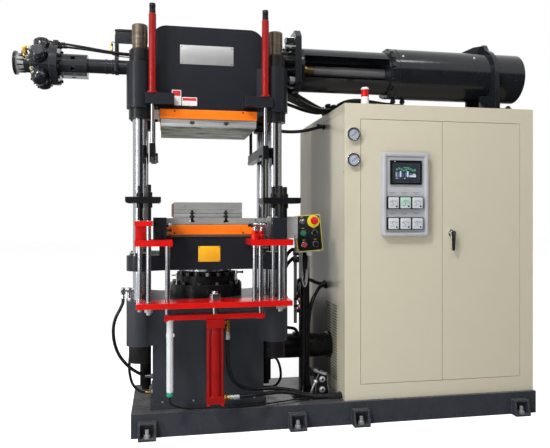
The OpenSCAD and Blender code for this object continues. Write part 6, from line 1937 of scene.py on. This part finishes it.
def makeMeterFaces():
    spec = meters
    mesh = bmesh.new()
    half = spec["width"] / 2
    for i, (x, z) in enumerate((x, z) for z in spec["zs"] for x in spec["xs"]):
        place = facing((x + half, spec["y"], z + half), front)
        tone = 4 if i == spec["mint"] else 0
        prism(mesh, rounded(spec["face"], spec["face"], 6), 0, 1.4, place, tone, 0.6)
        pivot = place @ Matrix.Translation(spec["pivot"])
        count, step, outer, side = spec["ticks"]
        for k in range(count):
            size = 7 if k % 5 == 0 else 4
            at = turned(pivot, spec["firstTick"] + step * k)
            block(mesh, (outer - size, -side, 0), (outer, side, 0.25), 1, 0, at)
        count, step, inner, outer, side = spec["dots"]
        for k in range(count):
            at = turned(pivot, spec["firstTick"] + step * (k + 0.5))
            block(mesh, (inner, -side, 0), (outer, side, 0.2), 1, 0, at)
        hand = turned(pivot, spec["pointers"][i] + 60)
        block(mesh, (0, -1, 0.3), (spec["handLength"], 1, 0.9), 1, 0, hand)
        strip = place @ Matrix.Translation(spec["cover"])
        prism(mesh, rounded(spec["face"] - 8, 13, 1.5), 1.4, 2.0, strip, 3)
        lathe(mesh, spec["zero"], place @ Matrix.Translation(spec["zeroAt"]), 2, 24)
        prism(mesh, rounded(13, 2.4, 0.6), 1.4, 1.7, place @ Matrix.Translation(spec["lineAt"]), 1)
    endPiece(mesh, "meterFaces", "left_door",
             ["dialWhite", "printAndPaintedShadeBlack", "blackPlastic", "dialWhite", "dialMint"])

    # bare labels over each meter
    mesh = bmesh.new()
    for x in spec["xs"]:
        for z in spec["zs"]:
            top = z + spec["width"]
            prism(mesh, rounded(44, 3.2, 1), 0, 0.3, facing((x + half, spec["labelY"], top + 26), front))
            prism(mesh, rounded(22, 2.4, 0.8), 0, 0.3, facing((x + half, spec["labelY"], top + 18), front))
    endPiece(mesh, "meterLabels", "left_door", ["stripGrey"])


gauges = {
    "x": 920,
    "zs": (1699, 1863),
    "y": -323,
    "radius": 36.4,
    "hands": (216, 222),
    "hand": ((-27, -1.5, 2.2), (16, 1.5, 3)),
    "ticks": (31, 9, -45),      # count, degrees apart, first
    "hub": ((5, 0.8), (5.4, 1), (5.4, 4.8), (4.4, 5.4), (0, 5.4)),
}


def makeGaugeDials():
    spec = gauges
    mesh = bmesh.new()
    for z, turn in zip(spec["zs"], spec["hands"]):
        place = facing((spec["x"], spec["y"], z), front)
        r = spec["radius"]
        lathe(mesh, [(0, 0), (r, 0), (r, 0.8), (0, 0.8)], place, 0, 48)
        lathe(mesh, [(r - 1.2, 0.8), (r, 0.8), (r, 5.6), (r - 2.4, 5.6)], place, 3, 48)
        count, step, first = spec["ticks"]
        for k in range(count):
            size = 6.5 if k % 5 == 0 else 3.5
            at = turned(place, first + step * k)
            block(mesh, (r - 4 - size, -0.45, 0.8), (r - 4, 0.45, 1.1), 1, 0, at)
        block(mesh, *spec["hand"], 2, 0, turned(place, turn))
        lathe(mesh, spec["hub"], place, 0, 20)
    endPiece(mesh, "gaugeDials", "root", ["dialBlue", "inkBlue", "printAndPaintedShadeBlack", "chrome"])


makePanelHousing()
makeScreenFields()
makeMeterFaces()
makeGaugeDials()
print("panel, meters and gauges made")

# cabinet: seams, side and rear panels, latches, vents and roof fittings

cabinet = {
    "left": 868,
    "right": 2208,
    "front": -301,
    "back": 966,
    "low": 148,
    "top": 2066,
    "proud": 2.4,
    "screwZs": (240, 700, 1160, 1620, 1960),
    "panelZ": 1090,
    "panelHigh": 1640,
    "rearXs": (1212, 1864),
    "latchIn": 34,
}


def quarterLatch(mesh, place):
    lathe(mesh, [(0, 0), (13, 0), (13, 2.5), (11, 4), (6, 4), (5, 2.6), (0, 2.6)], place, 0, 28)
    # the black bar across the head is painted shade for its slot
    block(mesh, (-5, -1.2, 2.4), (5, 1.2, 3.4), 1, 0, place)


def ventRows(mesh, place, wide, rows, pitch, look=0):
    # pressed louvres: a slanted lip over each slot, the slot a black strip of painted shade
    for i in range(rows):
        z = (i - (rows - 1) / 2) * pitch
        block(mesh, (-wide / 2, z - 3.2, -0.2), (wide / 2, z - 0.6, 0.5), look + 1, 0, place)
        lip = place @ Matrix.Translation((0, z + 0.6, 0)) @ Matrix.Rotation(math.radians(24), 4, "X")
        block(mesh, (-wide / 2 - 2, -1, -2), (wide / 2 + 2, 7, 3), look, 1.2, lip)


def makeCabinetPanels():
    spec = cabinet
    left = spec["left"]
    # thin joints of the folded roof and of the front post, on the left side
    mesh = bmesh.new()
    block(mesh, (left - 0.5, -171, 2012.8), (left + 0.5, 859, 2015.2), 0, 0)
    block(mesh, (left - 0.4, -262, spec["low"] + 1), (left + 0.5, -260.8, spec["top"] - 4), 0, 0)
    for z in spec["screwZs"]:
        # their slots in the dark seam finish: painted shade
        panScrew(mesh, facing((left, -281, z), (-1, 0, 0)), 9, 1, 0)
    endPiece(mesh, "sideJoints", "root", ["seamLineAndPaintedShade", "zincPlate"])

    high, middle = spec["panelHigh"], spec["panelZ"]
    sheets = [(facing((spec["right"], 330, middle), (1, 0, 0)), 1120)]
    sheets += [(facing((x, spec["back"], middle), (0, 1, 0)), 610) for x in spec["rearXs"]]
    mesh = bmesh.new()
    for place, wide in sheets:
        prism(mesh, rounded(wide, high, 10), 0, spec["proud"], place, 3, 1)
        prism(mesh, rounded(wide + 5, high + 5, 12), -0.4, 0.5, place, 2)
        top = place @ Matrix.Translation((0, 0, spec["proud"]))
        for x in (-1, 1):
            for z in (-0.42, 0, 0.42):
                spot = top @ Matrix.Translation((x * (wide / 2 - spec["latchIn"]), z * high, 0))
                quarterLatch(mesh, turned(spot, 35))
        for x in (-0.21, 0.21):
            vents = top @ Matrix.Translation((x * wide, -high * 0.36, 0))
            ventRows(mesh, vents, wide * 0.30, 14, 19, 3)
    endPiece(mesh, "cabinetPanels", "root",
             ["zincPlate", "printAndPaintedShadeBlack", "seamLineAndPaintedShade", "beigePaint", "printAndPaintedShadeBlack"])


louvres = {
    "ys": ((-124, -16), (15, 151)),
    "z": 232,
    "rows": 27,
    "pitch": 19,
    "slot": 8,
    "proud": 5.5,
}


def makeLouvreHoods():
    # each hood leans out from the sheet below its slot, open above
    spec = louvres
    x = cabinet["left"]
    outer = x - spec["proud"]
    mesh = bmesh.new()
    for i in range(spec["rows"]):
        foot = spec["z"] + i * spec["pitch"]
        lip = foot + 2
        for y0, y1 in spec["ys"]:
            section = ((x + 0.6, foot - 7), (outer, lip - 2), (outer, lip), (x + 0.6, foot - 3))
            # its outline lies in X and Z, so the place turns the prism's axis to Y
            prism(mesh, section, -y1 - 2, 2 - y0, Matrix.Rotation(math.radians(90), 4, "X"))
            # a black block fills each slot: painted shade under the hood
            block(mesh, (x - 0.3, y0, foot), (x + 1, y1, foot + spec["slot"]), 1, 0)
    endPiece(mesh, "louvreHoods", "root", ["beigePaint", "printAndPaintedShadeBlack"])


fan = {"radius": 118, "rings": 7, "pitch": 14, "wire": 3, "reach": 8, "inner": 20, "spokes": 4}


def makeFanGuards():
    mesh = bmesh.new()
    for place in (facing((cabinet["right"] + cabinet["proud"], 330, 1620), (1, 0, 0)),
                  facing((1212, cabinet["back"] + cabinet["proud"], 1640), (0, 1, 0))):
        r = fan["radius"]
        # a black disc under the wires: painted shade for the opening behind the guard
        lathe(mesh, [(0, 0), (r, 0), (r, 0.6), (0, 0.6)], place, 1, 48)
        for i in range(fan["rings"]):
            ringR = r - fan["pitch"] * i
            points = [place @ Vector((ringR * math.cos(t), ringR * math.sin(t), 5))
                      for t in [2 * math.pi * k / 40 for k in range(41)]]
            tube(mesh, points, fan["wire"], 0, 6)
        far = r + fan["reach"]
        for i in range(fan["spokes"]):
            spoke = turned(place, 45 + 90 * i)
            tube(mesh, [spoke @ Vector((s, 0, 6)) for s in (fan["inner"], far)], fan["wire"] + 1, 0, 6)
            lathe(mesh, [(0, 0), (7, 0), (7, 7), (0, 8)], spoke @ Matrix.Translation((far, 0, 0)), 0, 16)
    endPiece(mesh, "fanGuards", "root", ["zincPlate", "printAndPaintedShadeBlack"])


glands = {
    "wide": ((0, -1), (26, -1), (26, 3), (20, 5), (20, 14), (12, 16), (0, 16)),
    "wideAt": ((190, 852), (150, 842)),
    "narrow": ((0, -1), (20, -1), (20, 3), (16, 5), (16, 12), (0, 12)),
    "narrowAt": ((-228, 162), (-200, 162)),
    "roof": ((0, -1), (17, -1), (17, 3), (13.5, 4), (13.5, 9), (0, 9)),
    "roofAt": ((908, 212), (916, 243), (926, 271), (892, 184), (892, 276), (944, 200), (944, 236)),
    "roofZ": 2082,
}

lockPlate = {
    "at": (1601.5, -301, 1224),
    "plate": ((0, 0), (22, 0), (22, 2.4), (20, 3.4), (0, 3.4)),
    "screwUp": 26,
}


def makeSideGlands():
    mesh = bmesh.new()
    for kind in ("wide", "narrow"):
        for y, z in glands[kind + "At"]:
            lathe(mesh, glands[kind], facing((cabinet["left"], y, z), (-1, 0, 0)), 0, 28)
    endPiece(mesh, "sideGlands", "root", ["blackPlastic"])


def makeRoofGlands():
    mesh = bmesh.new()
    for x, y in glands["roofAt"]:
        lathe(mesh, glands["roof"], facing((x, y, glands["roofZ"]), (0, 0, 1)), 0, 24)
    endPiece(mesh, "roofGlands", "root", ["blackPlastic"])


def makeLockPlate():
    # keyhole plate behind the lever
    x, y, z = lockPlate["at"]
    mesh = bmesh.new()
    lathe(mesh, lockPlate["plate"], facing((x, y, z), front), 0, 36)
    for up in (-lockPlate["screwUp"], lockPlate["screwUp"]):
        # their slots in black: painted shade
        panScrew(mesh, facing((x, y, z + up), front), 9, 0, 1)
    endPiece(mesh, "lockPlate", "right_door", ["chrome", "printAndPaintedShadeBlack"])


makeCabinetPanels()
makeLouvreHoods()
makeFanGuards()
makeSideGlands()
makeLockPlate()
makeRoofGlands()
print("cabinet panels made")
